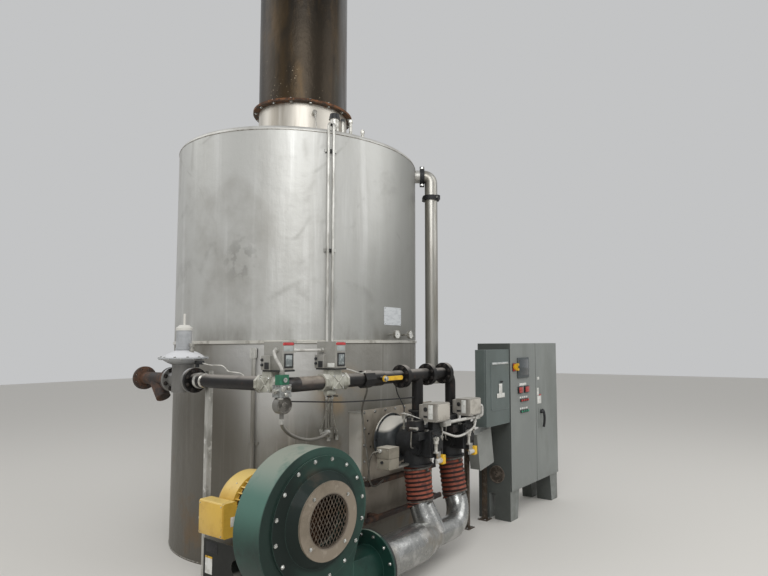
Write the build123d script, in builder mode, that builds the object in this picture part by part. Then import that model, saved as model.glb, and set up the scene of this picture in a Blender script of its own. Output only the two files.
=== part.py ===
from build123d import *
from math import cos, degrees, pi, radians, sin
import os

os.makedirs("parts", exist_ok=True)

# Frame: origin on the vessel's axis at floor level, +Z up, +X along the row
# of machines, -Y towards the aisle that the burners and cabinet face.

# Vessel
tank_radius = 1219.0
shell_wall = 8.0
tank_height = 3810.0
girth_height = 1893.0
floor_plate = 10.0
knuckle_radius = 45.0
girth_band_height = 34.0
girth_band_depth = 12.0

# Exhaust stack
stack_radius = 464.0
stack_wall = 6.0
stack_flange_radius = 522.0
stack_flange_thickness = 12.0
stub_length = 530.0
stack_section_length = 1560.0
stack_joint_height = tank_height + stub_length
stack_top_height = stack_joint_height + stack_section_length
stack_bolt_count = 16
stack_bolt_hole = 9.0

# Water connections
water_pipe_radius = 70.0
water_pipe_wall = 6.0
inlet_bearing = -50.0
inlet_drop = 95.0
inlet_height = tank_height - inlet_drop
riser_standoff = 176.0
riser_distance = tank_radius + riser_standoff
riser_bend = 76.0
riser_joint_drop = 241.0
riser_foot_height = 1450.0
outlet_bearing = 90.0
outlet_height = 330.0
outlet_standoff = 181.0
outlet_reach = tank_radius + outlet_standoff
flange_bolt_count = 8
water_flange_radius = 140.0
water_flange_thickness = 24.0
water_bolt_circle = 118.0
water_bolt_hole = 11.0

# Burners, on the line of the gas header in front of the vessel
front_line_reach = 486.0
front_line_y = -tank_radius - front_line_reach
burner_spacing = 505.0
burner_one_x = -190.0
burner_height = 1035.0
burner_box_left = -440.0
burner_box_right = 540.0
burner_box_top = 1280.0
burner_box_bottom = 300.0
burner_box_reach = 81.0
burner_box_front = -tank_radius - burner_box_reach
front_plate_thickness = 12.0
front_plate_lip = 16.0
casing_radius = 200.0
casing_neck_radius = 150.0
casing_neck_length = 88.0
casing_length = 250.0
casing_flange_radius = 222.0
burner_throat_radius = 128.0
air_port_setback = 10.0
air_port_y = front_line_y + air_port_setback
air_port_radius = 112.0
air_port_height = 835.0
burner_nose_reach = 200.0
burner_nose_y = front_line_y - burner_nose_reach

# Gas train
gas_height = 1600.0
gas_front_y = front_line_y
gas_left_reach = 381.0
gas_left_x = -tank_radius - gas_left_reach
gas_pipe_radius = 50.8
gas_pipe_wall = 6.0
gas_elbow_bend = 64.0
gas_flange_radius = 96.0
gas_flange_thickness = 24.0
gas_bolt_circle = 76.0
gas_bolt_hole = 7.0
drop_radius = 49.0
drop_foot_height = 1300.0
valve_length = 235.0
valve_body_radius = 66.0
nipple_length = 216.0
actuator_lean = 70.0
regulator_y = -450.0
regulator_face_length = 300.0
regulator_case_radius = 184.0
gas_inlet_y = 130.0
lever_pivot_x = -800.0
lever_length = 210.0
lever_standoff = 105.0

# Blower
blower_side_reach = 336.0
blower_front_reach = 145.0
blower_x = -tank_radius - blower_side_reach
blower_y = front_line_y - blower_front_reach
blower_height = 755.0
housing_width = 240.0
scroll_start_radius = 412.0
scroll_growth = 0.00078
cover_radius = 398.0
cover_thickness = 12.0
cover_bolt_circle = 375.0
cover_bolt_count = 16
cover_bolt_start = 10.0
cover_bolt_hole = 7.0
inlet_ring_radius = 246.0
inlet_eye_radius = 166.0
inlet_ring_reach = 200.0
inlet_ring_y = blower_y - inlet_ring_reach
inlet_ring_thickness = 14.0
fan_chamber_radius = 356.0
fan_radius = 335.0
blade_count = 10
shaft_radius = 24.0
running_gap = 0.3

# Air duct
duct_radius = 156.0
duct_height = 261.0
duct_flange_radius = 257.0
duct_flange_thickness = 16.0
duct_flange_reach = 586.0
duct_flange_x = blower_x + duct_flange_reach
leg_radius = 102.0
duct_lean = 24.0
hose_radius = 117.0
hose_ridge = 9.0
hose_ridge_count = 9

# Blower motor
motor_radius = 228.0
motor_setback = 160.0
motor_frame_length = 330.0
cowl_length = 200.0
motor_front_y = blower_y + motor_setback
cowl_front_y = motor_front_y + motor_frame_length
cowl_back_y = cowl_front_y + cowl_length
cowl_slot_count = 20
pedestal_top = 520.0
pedestal_half_width = 190.0

# Control cabinet
cabinet_gap = 72.0
cabinet_left = tank_radius + cabinet_gap
cabinet_width = 1180.0
cabinet_reach = 112.0
cabinet_front = front_line_y - cabinet_reach
cabinet_depth = 407.0
cabinet_base = 310.0
cabinet_height = 1870.0
cabinet_wall = 3.0
door_thickness = 20.0
door_seat = 0.5
door_margin = 6.0

# Disconnect box, junction box
disconnect_width = 486.0
disconnect_depth = 140.0
disconnect_cover_depth = 20.0
door_sweep = 8.0
disconnect_drop = 65.0
disconnect_tall = 770.0
junction_mid_x = cabinet_left - 336.0
junction_mid_z = 800.0
junction_width = 265.0
junction_tall = 360.0
junction_tilt = 9.0
junction_front = front_line_y + 5.0
junction_depth = 120.0
strut = 41.0


def facing_right(x, y, z):
    """Sketch plane across an X axis line: local x is +Y, local y is +Z."""
    return Plane(origin=(x, y, z), x_dir=(0, 1, 0), z_dir=(1, 0, 0))


def facing_front(x, y, z):
    """Sketch plane across a Y axis line, seen from the aisle: x is +X, y is +Z."""
    return Plane(origin=(x, y, z), x_dir=(1, 0, 0), z_dir=(0, -1, 0))


def radial(bearing, distance, z):
    """Sketch plane that faces away from the vessel's axis at a bearing."""
    a = radians(bearing)
    return Plane(
        origin=(distance * cos(a), distance * sin(a), z),
        x_dir=(-sin(a), cos(a), 0),
        z_dir=(cos(a), sin(a), 0),
    )


# Vessel
with BuildPart() as tank_floor:
    with BuildSketch():
        Circle(tank_radius)
    extrude(amount=floor_plate)
tank_floor.part.label = "tank_floor"
export_step(tank_floor.part, "parts/tank_floor.step")

with BuildPart() as lower_shell:
    with BuildSketch(Plane.XY.offset(floor_plate)):
        Circle(tank_radius)
        Circle(tank_radius - shell_wall, mode=Mode.SUBTRACT)
    extrude(amount=girth_height - floor_plate)
lower_shell.part.label = "lower_shell"
export_step(lower_shell.part, "parts/lower_shell.step")

with BuildPart() as upper_shell:
    with BuildSketch(Plane.XY.offset(girth_height)):
        Circle(tank_radius)
        Circle(tank_radius - shell_wall, mode=Mode.SUBTRACT)
    extrude(amount=tank_height - knuckle_radius - girth_height)
upper_shell.part.label = "upper_shell"
export_step(upper_shell.part, "parts/upper_shell.step")

band_inner = tank_radius + running_gap
with BuildPart() as girth_ring:
    with BuildSketch(Plane.XZ):
        with BuildLine():
            low = girth_height - girth_band_height / 2
            high = girth_height + girth_band_height / 2
            rim = band_inner + girth_band_depth
            Line((band_inner, low), (rim, low + 6))
            Line((rim, low + 6), (rim, high - 6))
            Line((rim, high - 6), (band_inner, high))
            Line((band_inner, high), (band_inner, low))
        make_face()
    revolve(axis=Axis.Z)
girth_ring.part.label = "girth_ring"
export_step(girth_ring.part, "parts/girth_ring.step")

with BuildPart() as top_head:
    with BuildSketch(Plane.XZ):
        with BuildLine():
            spring = tank_height - knuckle_radius
            inner_knuckle = knuckle_radius - shell_wall
            flat_edge = tank_radius - knuckle_radius
            Line((stack_radius, tank_height), (flat_edge, tank_height))
            RadiusArc((flat_edge, tank_height), (tank_radius, spring), knuckle_radius)
            Line((tank_radius, spring), (tank_radius - shell_wall, spring))
            inner_top = (flat_edge, tank_height - shell_wall)
            RadiusArc((tank_radius - shell_wall, spring), inner_top, -inner_knuckle)
            Line(inner_top, (stack_radius, tank_height - shell_wall))
            Line((stack_radius, tank_height - shell_wall), (stack_radius, tank_height))
        make_face()
    revolve(axis=Axis.Z)
top_head.part.label = "top_head"
export_step(top_head.part, "parts/top_head.step")

# Exhaust stack: nozzle welded on the head, bolted ring joint, stack section
nozzle_base = tank_height - shell_wall
with BuildPart() as stack_nozzle:
    with BuildSketch(Plane.XY.offset(nozzle_base)):
        Circle(stack_radius - running_gap)
        Circle(stack_radius - stack_wall, mode=Mode.SUBTRACT)
    extrude(amount=stack_joint_height - nozzle_base)
    with BuildSketch(Plane.XY.offset(stack_joint_height - stack_flange_thickness)):
        Circle(stack_flange_radius)
        Circle(stack_radius - stack_wall, mode=Mode.SUBTRACT)
    extrude(amount=stack_flange_thickness)
stack_nozzle.part.label = "stack_nozzle"
export_step(stack_nozzle.part, "parts/stack_nozzle.step")

stack_bolt_circle = (stack_flange_radius + stack_radius) / 2
with BuildPart() as stack_section:
    with BuildSketch(Plane.XY.offset(stack_joint_height)):
        Circle(stack_radius)
        Circle(stack_radius - stack_wall, mode=Mode.SUBTRACT)
    extrude(amount=stack_top_height - stack_joint_height)
    with BuildSketch(Plane.XY.offset(stack_joint_height)):
        Circle(stack_flange_radius)
        Circle(stack_radius - stack_wall, mode=Mode.SUBTRACT)
    extrude(amount=stack_flange_thickness)
    with BuildSketch(Plane.XY.offset(stack_top_height - stack_flange_thickness)):
        Circle(stack_flange_radius)
        Circle(stack_radius - stack_wall, mode=Mode.SUBTRACT)
        with PolarLocations(stack_bolt_circle, stack_bolt_count):
            Circle(stack_bolt_hole, mode=Mode.SUBTRACT)
    extrude(amount=stack_flange_thickness)
stack_section.part.label = "stack_section"
export_step(stack_section.part, "parts/stack_section.step")

# Water inlet: short nozzle, grooved coupling, elbow and riser
coupling_half = 24.0
coupling_radius = water_pipe_radius + 22
coupling_mid = riser_distance - riser_bend - coupling_half
with BuildPart() as inlet_nozzle:
    with BuildSketch(radial(inlet_bearing, tank_radius - shell_wall - 20, inlet_height)):
        Circle(water_pipe_radius)
    extrude(amount=coupling_mid - tank_radius + shell_wall + 20)
    with BuildSketch(radial(inlet_bearing, tank_radius - shell_wall - 20, inlet_height)):
        Circle(water_pipe_radius - water_pipe_wall)
    extrude(amount=coupling_mid - tank_radius + shell_wall + 20, mode=Mode.SUBTRACT)
    with BuildSketch(Plane.XY.offset(inlet_height - 200)):
        Circle(tank_radius + running_gap)
    extrude(amount=400, mode=Mode.SUBTRACT)
inlet_nozzle.part.label = "inlet_nozzle"
export_step(inlet_nozzle.part, "parts/inlet_nozzle.step")

inlet_side = radians(inlet_bearing)
riser_x = riser_distance * cos(inlet_side)
riser_y = riser_distance * sin(inlet_side)
joint_base = inlet_height - riser_joint_drop - coupling_half
coupling_planes = (
    radial(inlet_bearing, coupling_mid - coupling_half, inlet_height),
    Plane.XY.move(Location((riser_x, riser_y, joint_base))),
)
with BuildPart() as inlet_coupling:
    for coupling_plane in coupling_planes:
        with BuildSketch(coupling_plane):
            Circle(coupling_radius)
            with Locations((0, coupling_radius), (0, -coupling_radius)):
                RectangleRounded(44, 40, 8)
            Circle(water_pipe_radius + running_gap, mode=Mode.SUBTRACT)
        extrude(amount=2 * coupling_half)
inlet_coupling.part.label = "inlet_coupling"
export_step(inlet_coupling.part, "parts/inlet_coupling.step")

inlet_plane = Plane(
    origin=(0, 0, 0),
    x_dir=(cos(inlet_side), sin(inlet_side), 0),
    z_dir=(sin(inlet_side), -cos(inlet_side), 0),
)
with BuildPart() as inlet_riser:
    with BuildLine(inlet_plane):
        Line((coupling_mid, inlet_height), (coupling_mid + coupling_half, inlet_height))
        RadiusArc(
            (coupling_mid + coupling_half, inlet_height),
            (riser_distance, inlet_height - riser_bend),
            riser_bend,
        )
        Line((riser_distance, inlet_height - riser_bend), (riser_distance, riser_foot_height))
    with BuildSketch(radial(inlet_bearing, coupling_mid, inlet_height)):
        Circle(water_pipe_radius)
        Circle(water_pipe_radius - water_pipe_wall, mode=Mode.SUBTRACT)
    sweep()
    with BuildSketch(Plane.XY.move(Location((riser_x, riser_y, riser_foot_height)))):
        Circle(water_flange_radius)
        Circle(water_pipe_radius - water_pipe_wall, mode=Mode.SUBTRACT)
        with PolarLocations(water_bolt_circle, flange_bolt_count, start_angle=22.5):
            Circle(water_bolt_hole, mode=Mode.SUBTRACT)
    extrude(amount=water_flange_thickness)
inlet_riser.part.label = "inlet_riser"
export_step(inlet_riser.part, "parts/inlet_riser.step")

# Hot water outlet at the back, low on the shell
with BuildPart() as outlet_nozzle:
    with BuildSketch(radial(outlet_bearing, tank_radius - 60, outlet_height)):
        Circle(water_pipe_radius)
        Circle(water_pipe_radius - water_pipe_wall, mode=Mode.SUBTRACT)
    extrude(amount=outlet_reach - tank_radius + 60)
    with BuildSketch(radial(outlet_bearing, outlet_reach - water_flange_thickness, outlet_height)):
        Circle(water_flange_radius)
        Circle(water_pipe_radius - water_pipe_wall, mode=Mode.SUBTRACT)
        with PolarLocations(water_bolt_circle, flange_bolt_count, start_angle=22.5):
            Circle(water_bolt_hole, mode=Mode.SUBTRACT)
    extrude(amount=water_flange_thickness)
    with BuildSketch():
        Circle(tank_radius + running_gap)
    extrude(amount=2 * outlet_height, mode=Mode.SUBTRACT)
outlet_nozzle.part.label = "outlet_nozzle"
export_step(outlet_nozzle.part, "parts/outlet_nozzle.step")

# Burner box on the front of the lower shell, with its bolted front plate
burner_two_x = burner_one_x + burner_spacing
box_middle = (burner_box_left + burner_box_right) / 2
box_width = burner_box_right - burner_box_left
with BuildPart() as burner_box:
    with BuildSketch(Plane.XY.offset(burner_box_bottom)):
        with BuildLine():
            Polyline(
                (burner_box_left, burner_box_front),
                (burner_box_right, burner_box_front),
                (burner_box_right, 0),
                (burner_box_left, 0),
                close=True,
            )
        make_face()
        Circle(tank_radius + running_gap, mode=Mode.SUBTRACT)
    extrude(amount=burner_box_top - burner_box_bottom)
burner_box.part.label = "burner_box"
export_step(burner_box.part, "parts/burner_box.step")

plate_height = burner_box_top - burner_box_bottom + 2 * front_plate_lip
plate_middle = (burner_box_top + burner_box_bottom) / 2
with BuildPart() as burner_plate:
    with BuildSketch(facing_front(box_middle, burner_box_front, plate_middle)):
        RectangleRounded(box_width + 2 * front_plate_lip, plate_height, 10)
    extrude(amount=front_plate_thickness)
burner_plate.part.label = "burner_plate"
export_step(burner_plate.part, "parts/burner_plate.step")

plate_face = burner_box_front - front_plate_thickness
casing_front = plate_face - casing_length
casing_back = plate_face - casing_neck_length
casing_edge = 90.0
burner_axes = (burner_one_x, burner_two_x)
with BuildPart() as burner_casings:
    for burner_x in burner_axes:
        with BuildSketch(Plane(origin=(burner_x, 0, burner_height), x_dir=(1, 0, 0), z_dir=(0, 0, 1))):
            with BuildLine():
                lip = casing_back - 14
                shoulder = casing_front + casing_edge
                flat = casing_radius - casing_edge
                Polyline(
                    (0, casing_front),
                    (0, plate_face),
                    (casing_neck_radius, plate_face),
                    (casing_neck_radius, casing_back),
                    (casing_flange_radius, casing_back),
                    (casing_flange_radius, lip),
                    (casing_radius, lip),
                    (casing_radius, shoulder),
                )
                RadiusArc((casing_radius, shoulder), (flat, casing_front), casing_edge)
                Line((flat, casing_front), (0, casing_front))
            make_face()
        revolve(axis=Axis((burner_x, 0, burner_height), (0, 1, 0)))
burner_casings.part.label = "burner_casings"
export_step(burner_casings.part, "parts/burner_casings.step")

# Cast burner bodies: throat, air port below, gas port above, valve nose
port_flange = 14.0
gas_port_radius = 80.0
nose_back = air_port_y - 60
nose_size = 190.0
motor_base = 1222.0
motor_rise = 150.0
with BuildPart() as burner_bodies:
    for burner_x in burner_axes:
        with BuildSketch(facing_front(burner_x, casing_front, burner_height)):
            Circle(burner_throat_radius)
        extrude(amount=casing_front - air_port_y + burner_throat_radius)
        air_port = Plane.XY.move(Location((burner_x, air_port_y, air_port_height)))
        with BuildSketch(air_port):
            Circle(air_port_radius)
        extrude(amount=burner_height - air_port_height)
        with BuildSketch(air_port):
            Circle(air_port_radius + 24)
        extrude(amount=port_flange)
        gas_port = Plane.XY.move(Location((burner_x, gas_front_y, drop_foot_height)))
        with BuildSketch(gas_port):
            Circle(drop_radius + 8)
        extrude(amount=burner_height - drop_foot_height)
        with BuildSketch(gas_port):
            Circle(gas_port_radius)
        extrude(amount=-port_flange)
        with BuildSketch(facing_front(burner_x, nose_back, burner_height)):
            RectangleRounded(nose_size, nose_size + 40, 20)
        extrude(amount=nose_back - burner_nose_y)
        with BuildSketch(facing_front(burner_x, burner_nose_y + 55, (burner_height + motor_base) / 2)):
            Rectangle(90, motor_base - burner_height)
        extrude(amount=50)
burner_bodies.part.label = "burner_bodies"
export_step(burner_bodies.part, "parts/burner_bodies.step")

with BuildPart() as control_motors:
    with BuildSketch(Plane.XY.offset(motor_base)):
        with Locations((burner_one_x, burner_nose_y), (burner_two_x, burner_nose_y)):
            RectangleRounded(200, 145, 12)
    extrude(amount=motor_rise)
control_motors.part.label = "control_motors"
export_step(control_motors.part, "parts/control_motors.step")

# Red corrugated hoses between the wye and the burners
lean = radians(duct_lean)
lean_vector = Vector(0, sin(lean), cos(lean))
leg_lengths = (280.0, 245.0)
port_plane = Plane.XY.offset(air_port_height)
with BuildPart() as air_hoses:
    for burner_x, leg in zip(burner_axes, leg_lengths):
        foot = Vector(burner_x, blower_y, duct_height) + lean_vector * leg
        run = Vector(burner_x, air_port_y, air_port_height) - foot
        pitch = run.length / hose_ridge_count
        groove = hose_radius - hose_ridge
        low = -2 * pitch
        high = run.length + 2 * pitch
        across = Vector(1, 0, 0).cross(run).normalized()
        with BuildPart(mode=Mode.PRIVATE) as hose:
            with BuildSketch(Plane(origin=foot, x_dir=(1, 0, 0), z_dir=across)):
                with BuildLine():
                    ridges = [(groove, low)]
                    for step in range(-2, hose_ridge_count + 2):
                        ridges.append((hose_radius, pitch * (step + 0.5)))
                        ridges.append((groove, pitch * (step + 1)))
                    Polyline((0, low), *ridges, (0, high), close=True)
                make_face()
            revolve(axis=Axis(foot, run))
            split(bisect_by=port_plane, keep=Keep.BOTTOM)
            split(bisect_by=Plane(origin=foot, x_dir=(1, 0, 0), z_dir=lean_vector), keep=Keep.TOP)
        add(hose.part)
air_hoses.part.label = "air_hoses"
export_step(air_hoses.part, "parts/air_hoses.step")

# Galvanized wye duct, rolled about its own axis so that the legs lean back
duct_end_flange = duct_flange_x + duct_flange_thickness
reducer_start = -380.0
reducer_end = -150.0
elbow_bend = leg_lengths[1]
elbow_start = burner_two_x - elbow_bend
wye_plane = Plane(
    origin=(0, blower_y, duct_height),
    x_dir=(1, 0, 0),
    z_dir=Vector(1, 0, 0).cross(lean_vector),
)
with BuildPart() as wye_duct:
    with BuildSketch(facing_right(duct_flange_x, blower_y, duct_height)):
        Circle(duct_flange_radius)
    extrude(amount=duct_flange_thickness)
    with BuildSketch(facing_right(duct_end_flange, blower_y, duct_height)):
        Circle(duct_radius)
    extrude(amount=reducer_start - duct_end_flange)
    with BuildSketch(facing_right(reducer_start, blower_y, duct_height)):
        Circle(duct_radius)
    with BuildSketch(facing_right(reducer_end, blower_y, duct_height)):
        Circle(leg_radius)
    loft()
    with BuildLine(wye_plane):
        Line((reducer_end, 0), (elbow_start, 0))
        RadiusArc((elbow_start, 0), (burner_two_x, elbow_bend), -elbow_bend)
    with BuildSketch(facing_right(reducer_end, blower_y, duct_height)):
        Circle(leg_radius)
    sweep()
    leg_foot = Vector(burner_one_x + 20, blower_y, duct_height)
    leg_top = Vector(burner_one_x, blower_y, duct_height) + lean_vector * leg_lengths[0]
    with BuildSketch(Plane(origin=leg_foot, x_dir=(1, 0, 0), z_dir=lean_vector)):
        Circle(leg_radius + 22)
    with BuildSketch(Plane(origin=leg_top, x_dir=(1, 0, 0), z_dir=lean_vector)):
        Circle(leg_radius)
    loft()
wye_duct.part.label = "wye_duct"
export_step(wye_duct.part, "parts/wye_duct.step")

# Blower scroll: spiral outline, fan chamber, shaft hole in the back
housing_front = blower_y - housing_width / 2
housing_back = blower_y + housing_width / 2
outlet_x = 300.0
outlet_low = duct_height - duct_radius - blower_height
outlet_high = duct_height + duct_radius - 20 - blower_height
chamber_back_wall = 40.0


def scroll_radius(angle):
    return scroll_start_radius * (1 + scroll_growth * angle)


scroll_points = []
for angle in range(-30, 256, 15):
    reach = scroll_radius(angle + 30)
    scroll_points.append((reach * cos(radians(angle)), reach * sin(radians(angle))))
with BuildPart() as blower_scroll:
    with BuildSketch(facing_front(blower_x, housing_back, blower_height)):
        with BuildLine():
            Spline(*scroll_points)
            Polyline(
                scroll_points[-1],
                (0, outlet_low + 20),
                (outlet_x, outlet_low),
                (outlet_x, outlet_high),
                scroll_points[0],
            )
        make_face()
    extrude(amount=housing_width)
    with BuildSketch(facing_front(blower_x, housing_back - chamber_back_wall, blower_height)):
        Circle(fan_chamber_radius)
    extrude(amount=housing_width, mode=Mode.SUBTRACT)
    with BuildSketch(facing_front(blower_x, housing_back, blower_height)):
        Circle(shaft_radius + 12)
    extrude(amount=chamber_back_wall, mode=Mode.SUBTRACT)
blower_scroll.part.label = "blower_scroll"
export_step(blower_scroll.part, "parts/blower_scroll.step")

# Outlet piece: rectangle to round, with its bolted flange
outlet_base_x = blower_x + outlet_x
outlet_mid_height = blower_height + (outlet_low + outlet_high) / 2
with BuildPart() as blower_outlet:
    with BuildSketch(facing_right(outlet_base_x, blower_y, outlet_mid_height)):
        RectangleRounded(housing_width, outlet_high - outlet_low, 6)
    with BuildSketch(facing_right(duct_flange_x - duct_flange_thickness, blower_y, duct_height)):
        Circle(duct_radius)
    loft()
    with BuildSketch(facing_right(duct_flange_x - duct_flange_thickness, blower_y, duct_height)):
        Circle(duct_flange_radius)
    extrude(amount=duct_flange_thickness)
blower_outlet.part.label = "blower_outlet"
export_step(blower_outlet.part, "parts/blower_outlet.step")

# Front cover with its dished inlet, the tan inlet ring and the guard
cover_front = housing_front - cover_thickness
ring_back = inlet_ring_y + inlet_ring_thickness
dish_radius = 300.0
throat_depth = 60.0
with BuildPart() as blower_cover:
    with BuildSketch(Plane(origin=(blower_x, 0, blower_height), x_dir=(1, 0, 0), z_dir=(0, 0, 1))):
        with BuildLine():
            Polyline(
                (inlet_eye_radius, ring_back),
                (inlet_ring_radius, ring_back),
                (dish_radius, cover_front),
                (cover_radius, cover_front),
                (cover_radius, housing_front),
                (dish_radius, housing_front),
                (inlet_eye_radius + 14, housing_front + throat_depth),
                (inlet_eye_radius, housing_front + throat_depth),
                close=True,
            )
        make_face()
    revolve(axis=Axis((blower_x, 0, blower_height), (0, 1, 0)))
    with BuildSketch(facing_front(blower_x, housing_front, blower_height)):
        with PolarLocations(cover_bolt_circle, cover_bolt_count, start_angle=cover_bolt_start):
            Circle(cover_bolt_hole)
    extrude(amount=cover_thickness, mode=Mode.SUBTRACT)
blower_cover.part.label = "blower_cover"
export_step(blower_cover.part, "parts/blower_cover.step")

with BuildPart() as inlet_ring:
    with BuildSketch(facing_front(blower_x, ring_back, blower_height)):
        Circle(inlet_ring_radius)
        Circle(inlet_eye_radius, mode=Mode.SUBTRACT)
    extrude(amount=inlet_ring_thickness)
inlet_ring.part.label = "inlet_ring"
export_step(inlet_ring.part, "parts/inlet_ring.step")

guard_thickness = 3.0
guard_rim = 8.0
guard_pitch_x = 30.0
guard_pitch_z = 54.0
guard_bar = 5.0
guard_radius = inlet_eye_radius - running_gap
with BuildPart() as inlet_guard:
    with BuildSketch(facing_front(blower_x, ring_back, blower_height)):
        Circle(guard_radius)
        with BuildSketch(mode=Mode.PRIVATE) as diamonds:
            half_x = guard_pitch_x / 2 - guard_bar / 2
            half_z = guard_pitch_z / 2 - guard_bar
            with BuildSketch(mode=Mode.PRIVATE) as diamond:
                Polygon((half_x, 0), (0, half_z), (-half_x, 0), (0, -half_z), align=None)
            with GridLocations(guard_pitch_x, guard_pitch_z, 12, 7):
                add(diamond.sketch)
            with Locations((guard_pitch_x / 2, guard_pitch_z / 2)):
                with GridLocations(guard_pitch_x, guard_pitch_z, 12, 7):
                    add(diamond.sketch)
            Circle(guard_radius - guard_rim, mode=Mode.INTERSECT)
        add(diamonds.sketch, mode=Mode.SUBTRACT)
    extrude(amount=guard_thickness)
inlet_guard.part.label = "inlet_guard"
export_step(inlet_guard.part, "parts/inlet_guard.step")

# Fan wheel: back plate, curved blades, shroud and shaft, turning about Y
wheel_back = housing_back - chamber_back_wall - 12
wheel_plate = 6.0
blade_depth = 105.0
shroud_front = wheel_back - wheel_plate - blade_depth
hub_radius = 60.0
shaft_back = motor_front_y + 30
blade_inner = 190.0
with BuildPart() as fan_wheel:
    with BuildSketch(facing_front(blower_x, wheel_back, blower_height)):
        Circle(fan_radius)
    extrude(amount=wheel_plate)
    with BuildSketch(facing_front(blower_x, wheel_back, blower_height)):
        Circle(hub_radius)
    extrude(amount=wheel_plate + 55)
    with BuildSketch(facing_front(blower_x, shaft_back, blower_height)):
        Circle(shaft_radius)
    extrude(amount=shaft_back - wheel_back)
    with BuildSketch(facing_front(blower_x, wheel_back - wheel_plate, blower_height)):
        with BuildSketch(mode=Mode.PRIVATE) as blade:
            with BuildLine():
                blade_tip = (fan_radius * cos(radians(38)), fan_radius * sin(radians(38)))
                RadiusArc((blade_inner, 0), blade_tip, -260)
                RadiusArc((blade_inner + 6, -4), (blade_tip[0] + 3, blade_tip[1] - 6), -260)
                Line((blade_inner, 0), (blade_inner + 6, -4))
                Line(blade_tip, (blade_tip[0] + 3, blade_tip[1] - 6))
            make_face()
        with PolarLocations(0, blade_count):
            add(blade.sketch)
    extrude(amount=blade_depth)
    with BuildSketch(facing_front(blower_x, shroud_front, blower_height)):
        Circle(fan_radius)
        Circle(blade_inner, mode=Mode.SUBTRACT)
    extrude(amount=4)
fan_wheel.part.label = "fan_wheel"
export_step(fan_wheel.part, "parts/fan_wheel.step")

# Motor: finned frame, end bell, fan cowl, terminal box, steel pedestal
fin_count = 32
foot_height = 24.0
foot_back_y = cowl_front_y - 40
with BuildPart() as motor_frame:
    with BuildSketch(facing_front(blower_x, cowl_front_y, blower_height)):
        Circle(motor_radius - 32)
        with PolarLocations(motor_radius - 26, fin_count):
            Rectangle(30, 9)
    extrude(amount=cowl_front_y - motor_front_y - 50)
    with BuildSketch(facing_front(blower_x, motor_front_y + 50, blower_height)):
        Circle(motor_radius - 14)
    extrude(amount=50)
    with BuildSketch(facing_front(blower_x, housing_back + 20, blower_height)):
        Circle(motor_radius - 60)
    extrude(amount=20)
    with BuildSketch(facing_front(blower_x, motor_front_y, blower_height)):
        Circle(motor_radius - 60)
    extrude(amount=motor_front_y - housing_back - 20)
    with BuildSketch(facing_front(blower_x, motor_front_y + 40, blower_height)):
        Circle(shaft_radius + running_gap)
    extrude(amount=motor_front_y + 40 - housing_back, mode=Mode.SUBTRACT)
    with BuildSketch(facing_front(blower_x, foot_back_y, pedestal_top)):
        with BuildLine():
            foot_half = pedestal_half_width - 15
            foot_slope = blower_height - pedestal_top - 60
            Polyline(
                (-foot_half, 0),
                (foot_half, 0),
                (foot_half, foot_height),
                (120, foot_slope),
                (-120, foot_slope),
                (-foot_half, foot_height),
                close=True,
            )
        make_face()
    extrude(amount=220)
motor_frame.part.label = "motor_frame"
export_step(motor_frame.part, "parts/motor_frame.step")

cowl_slot_middle = 105.0
cowl_slot_length = 92.0
cowl_slot_width = 9.0
cowl_slot_depth = 10.0
with BuildPart() as motor_cowl:
    with BuildSketch(Plane(origin=(blower_x, 0, blower_height), x_dir=(1, 0, 0), z_dir=(0, 0, 1))):
        with BuildLine():
            round_start = cowl_back_y - 60
            Line((0, cowl_front_y), (motor_radius, cowl_front_y))
            Line((motor_radius, cowl_front_y), (motor_radius, round_start))
            RadiusArc((motor_radius, round_start), (motor_radius - 60, cowl_back_y), -60)
            Line((motor_radius - 60, cowl_back_y), (0, cowl_back_y))
            Line((0, cowl_back_y), (0, cowl_front_y))
        make_face()
    revolve(axis=Axis((blower_x, 0, blower_height), (0, 1, 0)))
    with BuildSketch(facing_front(blower_x, cowl_back_y, blower_height)):
        with PolarLocations(cowl_slot_middle, cowl_slot_count):
            SlotOverall(cowl_slot_length, cowl_slot_width)
    extrude(amount=cowl_slot_depth, mode=Mode.SUBTRACT)
motor_cowl.part.label = "motor_cowl"
export_step(motor_cowl.part, "parts/motor_cowl.step")

box_front_y = cowl_front_y - 60
box_back_y = cowl_back_y + 10
terminal_depth = 101.7
terminal_height = 725.0
terminal_side = blower_x - motor_radius - running_gap
terminal_x = terminal_side - terminal_depth
with BuildPart() as terminal_box:
    with BuildSketch(facing_front((terminal_x + terminal_side) / 2, box_back_y, terminal_height)):
        RectangleRounded(terminal_side - terminal_x, 225, 14)
    extrude(amount=box_back_y - box_front_y)
terminal_box.part.label = "terminal_box"
export_step(terminal_box.part, "parts/terminal_box.step")

pedestal_back_y = cowl_back_y + 160
pedestal_hole = 55.0
pedestal_front_y = housing_back + 2
with BuildPart() as pedestal:
    with BuildSketch(Plane.XY):
        with Locations((blower_x, (pedestal_back_y + pedestal_front_y) / 2)):
            Rectangle(2 * pedestal_half_width, pedestal_back_y - pedestal_front_y)
    extrude(amount=pedestal_top)
    with BuildSketch(facing_right(blower_x - pedestal_half_width, cowl_front_y - 10, pedestal_top - 140)):
        Circle(pedestal_hole)
    extrude(amount=2 * pedestal_half_width, mode=Mode.SUBTRACT)
pedestal.part.label = "pedestal"
export_step(pedestal.part, "parts/pedestal.step")

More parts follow.
